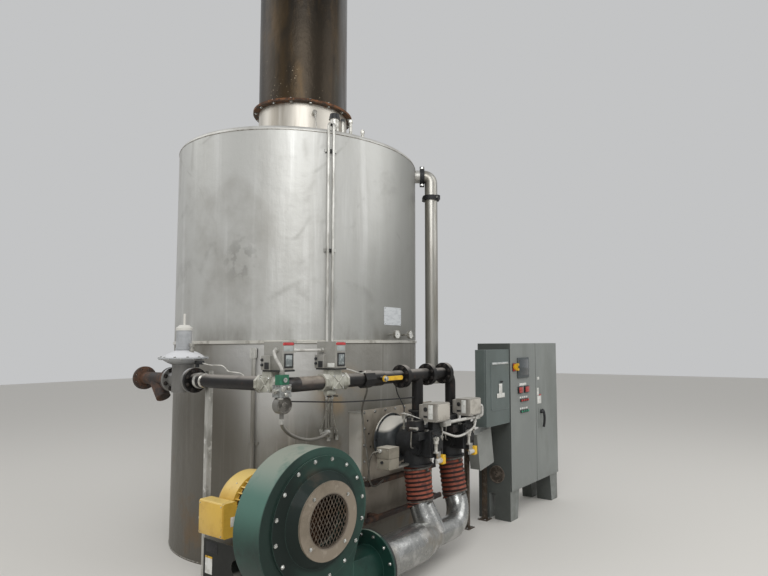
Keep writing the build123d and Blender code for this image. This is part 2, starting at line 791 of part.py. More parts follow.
# Gas inlet strainer, regulator and left run of the gas train
flange = gas_flange_thickness
regulator_front = regulator_y - regulator_face_length / 2
regulator_back = regulator_y + regulator_face_length / 2
with BuildPart() as gas_strainer:
    with BuildSketch(facing_front(gas_left_x, gas_inlet_y, gas_height)):
        Circle(gas_flange_radius)
        Circle(gas_pipe_radius - gas_pipe_wall, mode=Mode.SUBTRACT)
        with PolarLocations(gas_bolt_circle, flange_bolt_count, start_angle=22.5):
            Circle(gas_bolt_hole, mode=Mode.SUBTRACT)
    extrude(amount=flange)
    with BuildSketch(facing_front(gas_left_x, gas_inlet_y - flange, gas_height)):
        Circle(gas_pipe_radius)
    extrude(amount=gas_inlet_y - flange - regulator_back - flange)
    with BuildSketch(facing_front(gas_left_x, gas_inlet_y - flange, gas_height)):
        Circle(gas_pipe_radius - gas_pipe_wall)
    extrude(amount=120, mode=Mode.SUBTRACT)
    with BuildSketch(facing_front(gas_left_x, regulator_back + flange, gas_height)):
        Circle(gas_flange_radius)
    extrude(amount=flange)
    with BuildSketch(Plane(origin=(gas_left_x, -60, gas_height), x_dir=(1, 0, 0), z_dir=(0, -0.62, -0.78))):
        Circle(gas_pipe_radius + 4)
    extrude(amount=190)
gas_strainer.part.label = "gas_strainer"
export_step(gas_strainer.part, "parts/gas_strainer.step")

with BuildPart() as regulator_body:
    for face_y in (regulator_back, regulator_front + flange):
        with BuildSketch(facing_front(gas_left_x, face_y, gas_height)):
            Circle(gas_flange_radius)
        extrude(amount=flange)
    with BuildSketch(facing_front(gas_left_x, regulator_back, gas_height)):
        Circle(gas_pipe_radius + 12)
    extrude(amount=regulator_face_length)
    with BuildSketch(Plane.XY.move(Location((gas_left_x, regulator_y, gas_height - 95)))):
        Circle(82)
    extrude(amount=95 + 120)
regulator_body.part.label = "regulator_body"
export_step(regulator_body.part, "parts/regulator_body.step")

case_base = gas_height + 120
case_rim = gas_height + 172
case_top = gas_height + 232
tower_radius = 58.0
tower_top = gas_height + 432
cap_height = 45.0
stem_radius = 9.0
stem_rise = 90.0
with BuildPart() as regulator_case:
    with BuildSketch(Plane(origin=(gas_left_x, regulator_y, 0), x_dir=(1, 0, 0), z_dir=(0, -1, 0))):
        with BuildLine():
            rim = regulator_case_radius
            bowl = rim - 24
            Line((0, case_base), (82, case_base))
            RadiusArc((82, case_base), (bowl, case_rim - 5), -260)
            Line((bowl, case_rim - 5), (rim, case_rim - 5))
            Line((rim, case_rim - 5), (rim, case_rim + 5))
            Line((rim, case_rim + 5), (bowl, case_rim + 5))
            RadiusArc((bowl, case_rim + 5), (tower_radius, case_top), -260)
            Polyline(
                (tower_radius, case_top),
                (tower_radius - 2, tower_top - cap_height),
                (tower_radius + 3, tower_top - cap_height),
                (tower_radius + 3, tower_top - cap_height / 2),
                (tower_radius - 22, tower_top),
                (stem_radius, tower_top),
                (stem_radius, tower_top + stem_rise),
                (0, tower_top + stem_rise),
                (0, case_base),
            )
        make_face()
    revolve(axis=Axis((gas_left_x, regulator_y, 0), (0, 0, 1)))
regulator_case.part.label = "regulator_case"
export_step(regulator_case.part, "parts/regulator_case.step")

valve_one_back = gas_front_y + gas_elbow_bend + valve_length
with BuildPart() as gas_pipe_left:
    with BuildSketch(facing_front(gas_left_x, regulator_front, gas_height)):
        Circle(gas_flange_radius)
    extrude(amount=flange)
    with BuildSketch(facing_front(gas_left_x, regulator_front - flange, gas_height)):
        Circle(gas_pipe_radius + 6)
    extrude(amount=110)
    with BuildSketch(facing_front(gas_left_x, regulator_front - flange, gas_height)):
        Circle(gas_pipe_radius)
    extrude(amount=regulator_front - flange - valve_one_back)
gas_pipe_left.part.label = "gas_pipe_left"
export_step(gas_pipe_left.part, "parts/gas_pipe_left.step")

# Shutoff valves with their actuators
valve_one_y = valve_one_back - valve_length / 2
valve_two_x = gas_left_x + gas_elbow_bend + nipple_length + valve_length / 2
actuator_base = gas_height + 88
actuator_width = 104.0
actuator_depth = 194.0
actuator_rise = 204.0
valve_collar = 24.0
valve_axes = (
    Plane(origin=(gas_left_x, valve_one_back, gas_height), x_dir=(1, 0, 0), z_dir=(0, -1, 0)),
    Plane(origin=(valve_two_x - valve_length / 2, gas_front_y, gas_height), x_dir=(0, 1, 0), z_dir=(1, 0, 0)),
)
with BuildPart() as shutoff_valves:
    for axis_plane in valve_axes:
        for collar_start in (0, valve_length - valve_collar):
            with BuildSketch(axis_plane.offset(collar_start)):
                RegularPolygon(valve_body_radius, 8, rotation=22.5)
            extrude(amount=valve_collar)
        with BuildSketch(axis_plane):
            Circle(valve_body_radius - 8)
        extrude(amount=valve_length)
        middle = axis_plane.offset(valve_length / 2).origin
        with BuildSketch(Plane.XY.move(Location((middle.X, middle.Y, gas_height)))):
            RectangleRounded(96, 96, 10)
        extrude(amount=actuator_base - gas_height)
shutoff_valves.part.label = "shutoff_valves"
export_step(shutoff_valves.part, "parts/shutoff_valves.step")

actuator_two_y = gas_front_y + 16
base_plate = 12.0
with BuildPart() as valve_actuators:
    for actuator_x, actuator_y in ((gas_left_x, valve_one_y - actuator_lean), (valve_two_x, actuator_two_y)):
        with BuildSketch(Plane.XY.offset(actuator_base)):
            with Locations((actuator_x, actuator_y)):
                RectangleRounded(actuator_width + 12, actuator_depth + 8, 6)
        extrude(amount=base_plate)
        with BuildSketch(Plane.XY.offset(actuator_base + base_plate)):
            with Locations((actuator_x, actuator_y)):
                RectangleRounded(actuator_width, actuator_depth, 8)
        extrude(amount=actuator_rise - base_plate)
        with BuildSketch(Plane.XY.offset(actuator_base + base_plate)):
            with Locations((actuator_x - actuator_width / 2 - 8, actuator_y + actuator_depth / 4)):
                RectangleRounded(32, actuator_depth / 2 - 4, 6)
        extrude(amount=96)
valve_actuators.part.label = "valve_actuators"
export_step(valve_actuators.part, "parts/valve_actuators.step")

# Corner elbow and nipple
nipple_end = valve_two_x - valve_length / 2
with BuildPart() as corner_nipple:
    with BuildLine(Plane.XY.offset(gas_height)):
        elbow_start = (gas_left_x, gas_front_y + gas_elbow_bend)
        elbow_end = (gas_left_x + gas_elbow_bend, gas_front_y)
        RadiusArc(elbow_start, elbow_end, -gas_elbow_bend)
        Line(elbow_end, (nipple_end, gas_front_y))
    with BuildSketch(facing_front(gas_left_x, valve_one_back - valve_length, gas_height)):
        Circle(gas_pipe_radius)
    sweep()
corner_nipple.part.label = "corner_nipple"
export_step(corner_nipple.part, "parts/corner_nipple.step")

# Union and hand valve with its lever
valve_two_end = valve_two_x + valve_length / 2
union_x = -850.0
pair_one_x = -405.0
with BuildPart() as hand_valve:
    with BuildSketch(facing_right(valve_two_end, gas_front_y, gas_height)):
        Circle(gas_pipe_radius)
    extrude(amount=pair_one_x - flange - valve_two_end)
    with BuildSketch(facing_right(union_x - 55, gas_front_y, gas_height)):
        RegularPolygon(gas_pipe_radius + 17, 8)
    extrude(amount=110)
    with BuildSketch(facing_right(lever_pivot_x + 5, gas_front_y, gas_height)):
        Circle(gas_pipe_radius + 10)
    extrude(amount=120)
    with BuildSketch(facing_front(lever_pivot_x + 65, gas_front_y, gas_height)):
        Circle(16)
    extrude(amount=lever_standoff - 12)
    with BuildSketch(facing_right(pair_one_x - flange, gas_front_y, gas_height)):
        Circle(gas_flange_radius)
    extrude(amount=flange)
hand_valve.part.label = "hand_valve"
export_step(hand_valve.part, "parts/hand_valve.step")

lever_x = lever_pivot_x + 65
lever_y = gas_front_y - lever_standoff
with BuildPart() as valve_lever:
    with BuildSketch(facing_front(lever_x, lever_y + 12 - running_gap, gas_height)):
        Circle(24)
    extrude(amount=14)
    with BuildSketch(facing_front(lever_x, lever_y + 6, gas_height)):
        with Locations((lever_length / 2, 0)):
            RectangleRounded(lever_length, 34, 15)
    extrude(amount=10)
valve_lever.part.label = "valve_lever"
export_step(valve_lever.part, "parts/valve_lever.step")

# Manifold: tee, two flange pairs, elbow and the two drops
pair_two_x = -45.0
pair_three_x = 210.0
with BuildPart() as gas_manifold:
    with BuildSketch(facing_right(pair_one_x, gas_front_y, gas_height)):
        Circle(gas_flange_radius)
    extrude(amount=flange)
    with BuildSketch(facing_right(pair_one_x + flange, gas_front_y, gas_height)):
        Circle(gas_pipe_radius + 4)
    extrude(amount=pair_two_x - pair_one_x - flange)
    for pair_x in (pair_two_x, pair_three_x):
        with BuildSketch(facing_right(pair_x - flange, gas_front_y, gas_height)):
            Circle(gas_flange_radius)
        extrude(amount=2 * flange)
    with BuildSketch(facing_right(pair_two_x, gas_front_y, gas_height)):
        Circle(gas_pipe_radius)
    extrude(amount=pair_three_x - pair_two_x)
    with BuildSketch(Plane.XY.move(Location((burner_one_x, gas_front_y, drop_foot_height)))):
        Circle(drop_radius)
    extrude(amount=gas_height - drop_foot_height)
    bend = burner_two_x - pair_three_x
    with BuildLine(Plane.XZ.offset(-gas_front_y)):
        RadiusArc((burner_two_x - bend, gas_height), (burner_two_x, gas_height - bend), bend)
        Line((burner_two_x, gas_height - bend), (burner_two_x, drop_foot_height))
    with BuildSketch(facing_right(pair_three_x, gas_front_y, gas_height)):
        Circle(drop_radius)
    sweep()
gas_manifold.part.label = "gas_manifold"
export_step(gas_manifold.part, "parts/gas_manifold.step")

# Strut post that carries the left run
post_x = gas_left_x + gas_pipe_radius + 6 + strut / 2 + running_gap
post_y = regulator_front - flange - 60
with BuildPart() as pipe_post:
    with BuildSketch(Plane.XY.move(Location((post_x, post_y, 0)))):
        Rectangle(140, 140)
    extrude(amount=10)
    with BuildSketch(Plane.XY.move(Location((post_x, post_y, 10)))):
        Rectangle(strut, strut)
        with Locations((0, strut / 2)):
            Rectangle(strut - 20, 2 * (strut - 3), mode=Mode.SUBTRACT)
    extrude(amount=gas_height + 60)
pipe_post.part.label = "pipe_post"
export_step(pipe_post.part, "parts/pipe_post.step")

# Control cabinet: hollow body, two doors, legs
cabinet_right = cabinet_left + cabinet_width
cabinet_back = cabinet_front + cabinet_depth
body_front = cabinet_front + door_thickness + door_seat
cabinet_mid_x = (cabinet_left + cabinet_right) / 2
cabinet_mid_z = (cabinet_base + cabinet_height) / 2
cabinet_tall = cabinet_height - cabinet_base
with BuildPart() as cabinet_body:
    with BuildSketch(facing_front(cabinet_mid_x, cabinet_back, cabinet_mid_z)):
        Rectangle(cabinet_width, cabinet_tall)
    extrude(amount=cabinet_back - body_front)
    with BuildSketch(facing_front(cabinet_mid_x, cabinet_back - cabinet_wall, cabinet_mid_z)):
        Rectangle(cabinet_width - 2 * cabinet_wall, cabinet_tall - 2 * cabinet_wall)
    extrude(amount=cabinet_depth, mode=Mode.SUBTRACT)
    with BuildSketch(facing_front(cabinet_mid_x, body_front + cabinet_wall, cabinet_mid_z)):
        Rectangle(cabinet_width, cabinet_tall)
        Rectangle(cabinet_width - 60, cabinet_tall - 60, mode=Mode.SUBTRACT)
    extrude(amount=cabinet_wall)
cabinet_body.part.label = "cabinet_body"
export_step(cabinet_body.part, "parts/cabinet_body.step")

door_split = cabinet_left + 604

def door_shell(left, right):
    """Hollow folded door between two X edges, closed against the cabinet."""
    seat = facing_front((left + right) / 2, cabinet_front + door_thickness, cabinet_mid_z)
    with BuildPart(mode=Mode.PRIVATE) as door:
        with BuildSketch(seat):
            Rectangle(right - left, cabinet_tall)
        extrude(amount=door_thickness)
        with BuildSketch(seat):
            Rectangle(right - left - 4, cabinet_tall - 4)
        extrude(amount=door_thickness - cabinet_wall, mode=Mode.SUBTRACT)
        fillet(door.faces().sort_by(Axis.Y)[0].edges(), 3)
    return door.part


with BuildPart() as cabinet_door_left:
    add(door_shell(cabinet_left, door_split - door_margin / 2))
cabinet_door_left.part.label = "cabinet_door_left"
export_step(cabinet_door_left.part, "parts/cabinet_door_left.step")

with BuildPart() as cabinet_door_right:
    add(door_shell(door_split + door_margin / 2, cabinet_right))
cabinet_door_right.part.label = "cabinet_door_right"
export_step(cabinet_door_right.part, "parts/cabinet_door_right.step")

leg_bottom_width = 160.0
leg_top_width = 200.0
leg_gap_start = cabinet_front + door_thickness + 190
leg_gap_end = cabinet_back - 130
with BuildPart() as cabinet_legs:
    for outer_x, inward in ((cabinet_left, 1), (cabinet_right, -1)):
        with BuildSketch(facing_front(outer_x, cabinet_back, 0)):
            with BuildLine():
                Polyline(
                    (0, 0),
                    (inward * leg_bottom_width, 0),
                    (inward * leg_top_width, cabinet_base),
                    (0, cabinet_base),
                    close=True,
                )
            make_face()
        extrude(amount=cabinet_back - body_front)
    with BuildSketch(facing_right(cabinet_left, (leg_gap_start + leg_gap_end) / 2, 120)):
        Rectangle(leg_gap_end - leg_gap_start, 300)
    extrude(amount=cabinet_width, mode=Mode.SUBTRACT)
cabinet_legs.part.label = "cabinet_legs"
export_step(cabinet_legs.part, "parts/cabinet_legs.step")

# Door hardware: pull handle, rotary disconnect handle, screen and buttons
handle_x = door_split + 120
handle_top = cabinet_height - 775
with BuildPart() as door_handle:
    with BuildSketch(facing_front(handle_x, cabinet_front - running_gap, handle_top - 15)):
        Circle(19)
    extrude(amount=34)
    with BuildSketch(facing_front(handle_x, cabinet_front - 16, handle_top - 90)):
        RectangleRounded(30, 186, 14)
    extrude(amount=20)
door_handle.part.label = "door_handle"
export_step(door_handle.part, "parts/door_handle.step")

knob_x = cabinet_left + 83
knob_z = cabinet_height - 255
screen_x = cabinet_left + 309
screen_z = cabinet_height - 270
lamp_x = screen_x + 12
lamp_z = cabinet_height - 488
button_x = screen_x + 18
button_heights = (cabinet_height - 608, cabinet_height - 722)
with BuildPart() as disconnect_handle:
    with BuildSketch(facing_front(knob_x, cabinet_front - 8 - running_gap, knob_z)):
        Circle(30)
    extrude(amount=22)
    with BuildSketch(facing_front(knob_x, cabinet_front - 28, knob_z)):
        RectangleRounded(26, 78, 10)
    extrude(amount=30)
disconnect_handle.part.label = "disconnect_handle"
export_step(disconnect_handle.part, "parts/disconnect_handle.step")

with BuildPart() as door_controls:
    with BuildSketch(facing_front(knob_x, cabinet_front, knob_z)):
        RectangleRounded(84, 84, 10)
    extrude(amount=8)
    with BuildSketch(facing_front(screen_x, cabinet_front, screen_z)):
        RectangleRounded(190, 210, 8)
    extrude(amount=14)
    with BuildSketch(facing_front(lamp_x, cabinet_front, lamp_z)):
        with GridLocations(86, 0, 2, 1):
            RectangleRounded(72, 72, 8)
    extrude(amount=18)
    for row_z in button_heights:
        with BuildSketch(facing_front(button_x, cabinet_front, row_z)):
            with GridLocations(48, 0, 4, 1):
                Circle(15)
        extrude(amount=20)
door_controls.part.label = "door_controls"
export_step(door_controls.part, "parts/door_controls.step")

# Disconnect box on the cabinet's left side; its cover keeps clear of the door
disconnect_mid_x = cabinet_left - disconnect_width / 2
disconnect_mid_z = cabinet_height - disconnect_drop - disconnect_tall / 2
box_mouth = body_front + 10
with BuildPart() as disconnect_box:
    with BuildSketch(facing_front(disconnect_mid_x, cabinet_front + disconnect_depth, disconnect_mid_z)):
        Rectangle(disconnect_width, disconnect_tall)
    extrude(amount=cabinet_front + disconnect_depth - box_mouth)
disconnect_box.part.label = "disconnect_box"
export_step(disconnect_box.part, "parts/disconnect_box.step")

cover_panel_x = disconnect_mid_x + 30
cover_panel_z = disconnect_mid_z + 15
with BuildPart() as disconnect_cover:
    with BuildSketch(facing_front(disconnect_mid_x - door_sweep / 2, box_mouth, disconnect_mid_z)):
        RectangleRounded(disconnect_width - door_sweep, disconnect_tall, 8)
    extrude(amount=disconnect_cover_depth)
    with BuildSketch(facing_front(cover_panel_x, box_mouth - disconnect_cover_depth, cover_panel_z)):
        RectangleRounded(370, 490, 24)
    extrude(amount=6)
disconnect_cover.part.label = "disconnect_cover"
export_step(disconnect_cover.part, "parts/disconnect_cover.step")

# Junction box on its strut stand
junction_back = junction_front + junction_depth
with BuildPart() as junction_box:
    with BuildSketch(facing_front(junction_mid_x, junction_back, junction_mid_z)):
        RectangleRounded(junction_width, junction_tall, 6, rotation=junction_tilt)
    extrude(amount=junction_depth - 14)
    with BuildSketch(facing_front(junction_mid_x, junction_front + 14, junction_mid_z)):
        RectangleRounded(junction_width + 12, junction_tall + 12, 6, rotation=junction_tilt)
    extrude(amount=14)
junction_box.part.label = "junction_box"
export_step(junction_box.part, "parts/junction_box.step")

stand_left = cabinet_left - 411.0
stand_right = cabinet_left - 63.0
stand_height = 960.0
rail_y = junction_back + strut / 2
with BuildPart() as junction_stand:
    for post in (stand_left, stand_right):
        with BuildSketch(Plane.XY.move(Location((post, rail_y + strut, 0)))):
            Rectangle(110, 110)
        extrude(amount=8)
        with BuildSketch(Plane.XY.move(Location((post, rail_y + strut, 0)))):
            Rectangle(strut, strut)
        extrude(amount=stand_height)
    for rail_z in (700.0, 900.0):
        with BuildSketch(facing_right(stand_left - 30, rail_y, rail_z)):
            Rectangle(strut, strut)
        extrude(amount=stand_right - stand_left + 60)
junction_stand.part.label = "junction_stand"
export_step(junction_stand.part, "parts/junction_stand.step")

# Igniter box beside the first burner, on a rail from the burner's air port
igniter_x = burner_one_x - 400.0
port_flange_radius = air_port_radius + 24
with BuildPart() as igniter_box:
    with BuildSketch(Plane.XY.move(Location((igniter_x, air_port_y, 834)))):
        Rectangle(125, 130)
    extrude(amount=205)
    with BuildSketch(facing_right(igniter_x, air_port_y, 852)):
        Rectangle(40, 36)
    extrude(amount=burner_one_x - port_flange_radius - running_gap - igniter_x)
igniter_box.part.label = "igniter_box"
export_step(igniter_box.part, "parts/igniter_box.step")

# Fittings on the edge of the head: float vent with a dark cap, small stubs
vent_bearing = -117.5
vent_distance = tank_radius - 70
vent_radius = 42.0
head_stubs = ((-113.3, 83.0, 16.0, 140.0), (-109.9, 59.0, 15.0, 140.0), (-103.0, 79.0, 15.0, 80.0))
with BuildPart() as head_fittings:
    with BuildSketch(Plane.XY.offset(tank_height)):
        with PolarLocations(vent_distance, 1, start_angle=vent_bearing):
            Circle(vent_radius)
    extrude(amount=112)
    with BuildSketch(Plane.XY.offset(tank_height + 112)):
        with PolarLocations(vent_distance, 1, start_angle=vent_bearing):
            Circle(vent_radius + 10)
    extrude(amount=52, taper=12)
    for bearing, setback, radius, rise in head_stubs:
        with BuildSketch(Plane.XY.offset(tank_height)):
            with PolarLocations(tank_radius - setback, 1, start_angle=bearing):
                Circle(radius)
        extrude(amount=rise)
        with BuildSketch(Plane.XY.offset(tank_height + rise - 30)):
            with PolarLocations(tank_radius - setback, 1, start_angle=bearing):
                RegularPolygon(radius + 6, 6)
        extrude(amount=20)
head_fittings.part.label = "head_fittings"
export_step(head_fittings.part, "parts/head_fittings.step")

# Two conduits from the vent, over the rim and down the shell to a round body,
# and a third with its own fitting low on the left
conduit_radius = 12.0
conduit_bend = 40.0
conduit_standoff = tank_radius + 30
conduit_over = tank_height + 42
conduit_foot = 1160.0
body_distance = tank_radius + 46
body_radius = 42.0
clamp_heights = (tank_height - 210, tank_height - 1110, conduit_foot + 400)
vessel_conduit_bearing = -149.5
vessel_conduit_radius = 17.0
vessel_conduit_foot = 60.0
vessel_conduit_top = 1800.0
vent_side = radians(vent_bearing)
vent_centre = Vector(vent_distance * cos(vent_side), vent_distance * sin(vent_side), 0)
with BuildPart() as wall_conduits:
    for bearing in (-121.3, -119.2):
        side = radians(bearing)
        rise_foot = Vector(conduit_standoff * cos(side), conduit_standoff * sin(side), 0)
        inward = vent_centre - rise_foot
        over_plane = Plane(origin=rise_foot, x_dir=inward, z_dir=inward.cross(Vector(0, 0, 1)))
        with BuildLine(over_plane):
            Line((0, conduit_foot), (0, conduit_over - conduit_bend))
            RadiusArc((0, conduit_over - conduit_bend), (conduit_bend, conduit_over), conduit_bend)
            Line((conduit_bend, conduit_over), (inward.length - 10, conduit_over))
        with BuildSketch(Plane.XY.move(Location((rise_foot.X, rise_foot.Y, conduit_foot)))):
            Circle(conduit_radius)
        sweep()
    with BuildSketch(Plane.XY.offset(conduit_foot - 80)):
        with PolarLocations(body_distance, 1, start_angle=-120.25):
            Circle(body_radius)
    extrude(amount=80)
    for clamp_z in clamp_heights:
        with BuildSketch(radial(-120.25, tank_radius + running_gap, clamp_z)):
            Rectangle(100, 30)
        extrude(amount=18)
    with BuildSketch(Plane.XY.offset(vessel_conduit_foot)):
        with PolarLocations(conduit_standoff, 1, start_angle=vessel_conduit_bearing):
            Circle(vessel_conduit_radius)
    extrude(amount=vessel_conduit_top - vessel_conduit_foot)
    with BuildSketch(radial(vessel_conduit_bearing, tank_radius + running_gap, vessel_conduit_top)):
        RectangleRounded(46, 92, 14)
    extrude(amount=58)
    for strap_z in (vessel_conduit_foot + 240, vessel_conduit_top - 760):
        with BuildSketch(radial(vessel_conduit_bearing, tank_radius + running_gap, strap_z)):
            Rectangle(84, 26)
        extrude(amount=16)
    with BuildSketch(Plane.XY.offset(tank_height)):
        with PolarLocations(vent_distance, 1, start_angle=vent_bearing):
            Circle(vent_radius + running_gap)
    extrude(amount=100, mode=Mode.SUBTRACT)
wall_conduits.part.label = "wall_conduits"
export_step(wall_conduits.part, "parts/wall_conduits.step")

# Blank plate and two dial gauges high on the shell
gauge_bearings = (-89.5, -79.3)
gauge_height = 1960.0
gauge_stem = 70.0
with BuildPart() as gauges:
    for bearing in gauge_bearings:
        with BuildSketch(radial(bearing, tank_radius + running_gap, gauge_height)):
            Circle(9)
        extrude(amount=gauge_stem)
        with BuildSketch(radial(bearing, tank_radius + running_gap + gauge_stem, gauge_height)):
            Circle(38)
        extrude(amount=26)
gauges.part.label = "gauges"
export_step(gauges.part, "parts/gauges.step")

plate_inner = tank_radius + running_gap
data_plate_height = 2135.0
with BuildPart() as data_plate:
    with BuildSketch(radial(-86.9, tank_radius - 30, data_plate_height)):
        RectangleRounded(266, 170, 8)
    extrude(amount=60)
    with BuildSketch(Plane.XY.offset(data_plate_height - 135)):
        Circle(plate_inner + 3)
        Circle(plate_inner, mode=Mode.SUBTRACT)
    extrude(amount=300, mode=Mode.INTERSECT)
data_plate.part.label = "data_plate"
export_step(data_plate.part, "parts/data_plate.step")

# Pipe rail and angle across the front of the burner plate
rail_radius = 25.0
rail_axis_y = plate_face - 90
rail_start = burner_box_left - 80
rail_end = burner_box_right + 20
rail_height = 385.0
angle_height = 670.0
with BuildPart() as front_rail:
    with BuildSketch(facing_right(rail_start, rail_axis_y, rail_height)):
        Circle(rail_radius)
    extrude(amount=rail_end - rail_start)
    for bracket_x in (burner_box_left + 60, burner_box_right - 60):
        with BuildSketch(facing_front(bracket_x, plate_face, rail_height)):
            Rectangle(40, 60)
        extrude(amount=plate_face - rail_axis_y)
    with BuildSketch(facing_right(burner_box_left, plate_face - 30, angle_height)):
        Rectangle(60, 36)
    extrude(amount=box_width)
front_rail.part.label = "front_rail"
export_step(front_rail.part, "parts/front_rail.step")

# Flame scanners low on the burner noses, with plug caps
scanner_height = 892.0
with BuildPart() as flame_scanners:
    for burner_x in burner_axes:
        with BuildSketch(facing_front(burner_x - 5, burner_nose_y, scanner_height + 28)):
            RectangleRounded(60, 92, 6)
        extrude(amount=26)
        with BuildSketch(facing_right(burner_x - 50, burner_nose_y - 26, scanner_height)):
            Circle(22)
        extrude(amount=76)
        with BuildSketch(facing_right(burner_x + 26, burner_nose_y - 26, scanner_height + 4)):
            RectangleRounded(46, 78, 8)
        extrude(amount=40)
flame_scanners.part.label = "flame_scanners"
export_step(flame_scanners.part, "parts/flame_scanners.step")

# Pilot valve with its coil and a pressure switch, left of the corner elbow
trim_x = gas_left_x - 100
trim_y = gas_front_y - 45
trim_stub_y = gas_front_y - 17
with BuildPart() as gas_trim:
    with BuildSketch(facing_right(trim_x, trim_stub_y, gas_height)):
        Circle(11)
    extrude(amount=gas_left_x + 30 - trim_x)
    with BuildSketch(Plane.XY.move(Location((trim_x, trim_y, gas_height - 70)))):
        RectangleRounded(96, 84, 10)
    extrude(amount=80)
    with BuildSketch(Plane.XY.move(Location((trim_x, trim_y, gas_height + 10)))):
        RectangleRounded(76, 56, 8)
    extrude(amount=64)
    with BuildSketch(facing_front(trim_x, trim_y + 26, gas_height - 122)):
        Circle(57)
    extrude(amount=52)
    with BuildSketch(Plane.XY.move(Location((trim_x, trim_y, gas_height - 212)))):
        Circle(14)
    extrude(amount=40)
    with BuildLine(Plane.XY.offset(gas_height)):
        RadiusArc(
            (gas_left_x, gas_front_y + gas_elbow_bend),
            (gas_left_x + gas_elbow_bend, gas_front_y),
            -gas_elbow_bend,
        )
    with BuildSketch(facing_front(gas_left_x, gas_front_y + gas_elbow_bend, gas_height)):
        Circle(gas_pipe_radius + running_gap)
    sweep(mode=Mode.SUBTRACT)
gas_trim.part.label = "gas_trim"
export_step(gas_trim.part, "parts/gas_trim.step")

# Flexible conduits held at both ends: switch to wall body, between the two
# actuators, along the control motors, and from the igniter box to the rail
flex_radius = 11.0
body_side = radians(-120.25)
body_centre = Vector(body_distance * cos(body_side), body_distance * sin(body_side), 0)
motor_conduit_y = burner_nose_y - 35
motor_right = burner_two_x + 100
actuator_left_face = valve_two_x - actuator_width / 2
igniter_back_y = air_port_y + 65
sag_points = (
    (trim_x, trim_y, gas_height - 212),
    (gas_left_x + 40, gas_front_y + 55, gas_height - 285),
    (gas_left_x + 274, gas_front_y + 225, gas_height - 388),
    (gas_left_x + 552, gas_front_y + 375, gas_height - 435),
    (body_centre.X - 163, body_centre.Y - 97, 1130),
    (body_centre.X - 20, body_centre.Y - 14, 1122),
)
loop_points = (
    (igniter_x - 10, igniter_back_y, 985),
    (igniter_x - 10, igniter_back_y + 60, 990),
    (igniter_x + 20, igniter_back_y + 130, 950),
    (igniter_x + 60, igniter_back_y + 190, 850),
    (igniter_x + 120, rail_axis_y, 720),
    (burner_box_left + 15, plate_face - 60, angle_height + 2),
)
with BuildPart() as flex_conduits:
    runs = (
        (sag_points, (0, 0, -1), (1, 0.4, 0)),
        (loop_points, (0, 1, 0), (0, 1, 0)),
    )
    for points, set_off, arrive in runs:
        with BuildLine():
            Spline(*points, tangents=(set_off, arrive))
        with BuildSketch(Plane(origin=points[0], z_dir=set_off)):
            Circle(flex_radius)
        sweep()
    with BuildSketch(facing_right(gas_left_x + actuator_width / 2, gas_front_y + 45, gas_height + 230)):
        Circle(flex_radius)
    extrude(amount=actuator_left_face - gas_left_x - actuator_width / 2)
    for sleeve_x in (gas_left_x + actuator_width / 2, actuator_left_face - 34):
        with BuildSketch(facing_right(sleeve_x, gas_front_y + 45, gas_height + 230)):
            Circle(flex_radius + 6)
        extrude(amount=34)
    with BuildSketch(Plane.XY.move(Location((burner_one_x + 85, motor_conduit_y, motor_base - 50)))):
        RectangleRounded(90, 46, 6)
    extrude(amount=50)
    low = motor_base - 27
    high = motor_base + 73
    with BuildLine(Plane.XZ.offset(-motor_conduit_y)):
        Line((burner_one_x + 100, low), (motor_right + 35, low))
        RadiusArc((motor_right + 35, low), (motor_right + 80, low + 45), -45)
        Line((motor_right + 80, low + 45), (motor_right + 80, high - 45))
        RadiusArc((motor_right + 80, high - 45), (motor_right + 35, high), -45)
        Line((motor_right + 35, high), (motor_right, high))
    with BuildSketch(facing_right(burner_one_x + 100, motor_conduit_y, low)):
        Circle(flex_radius)
    sweep()
    with BuildSketch(Plane.XY.offset(conduit_foot - 80)):
        with PolarLocations(body_distance, 1, start_angle=-120.25):
            Circle(body_radius + running_gap)
    extrude(amount=80, mode=Mode.SUBTRACT)
flex_conduits.part.label = "flex_conduits"
export_step(flex_conduits.part, "parts/flex_conduits.step")
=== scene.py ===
import math
import bmesh
import bpy
from mathutils import Matrix, Vector


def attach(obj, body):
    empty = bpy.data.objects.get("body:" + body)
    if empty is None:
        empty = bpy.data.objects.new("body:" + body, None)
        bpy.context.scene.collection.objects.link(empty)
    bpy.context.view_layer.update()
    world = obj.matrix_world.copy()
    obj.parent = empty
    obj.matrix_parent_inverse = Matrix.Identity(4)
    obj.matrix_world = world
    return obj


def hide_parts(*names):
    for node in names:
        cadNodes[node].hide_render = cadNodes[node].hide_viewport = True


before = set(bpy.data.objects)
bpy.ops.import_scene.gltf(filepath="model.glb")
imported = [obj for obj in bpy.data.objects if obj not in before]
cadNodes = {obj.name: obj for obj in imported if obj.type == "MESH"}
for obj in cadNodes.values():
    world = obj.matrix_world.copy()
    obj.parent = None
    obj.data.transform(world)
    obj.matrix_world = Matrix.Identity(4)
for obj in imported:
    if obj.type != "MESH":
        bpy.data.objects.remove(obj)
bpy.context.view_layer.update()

scene = bpy.context.scene
scene.view_settings.view_transform = "Standard"
print("frame loaded", len(cadNodes), "nodes")


def hexColour(text):
    # sRGB hex to linear RGBA
    values = [int(text[i:i + 2], 16) / 255 for i in (1, 3, 5)]
    return [v / 12.92 if v <= 0.04045 else ((v + 0.055) / 1.055) ** 2.4 for v in values] + [1.0]


def addNode(tree, kind, settings=None, links=None):
    # settings are the node's own fields or its sockets, links are the sockets that feed it
    node = tree.nodes.new(kind)
    for key, value in (settings or {}).items():
        if isinstance(key, str) and hasattr(node, key):
            setattr(node, key, value)
        else:
            node.inputs[key].default_value = value
    for key, source in (links or {}).items():
        tree.links.new(source, node.inputs[key])
    return node


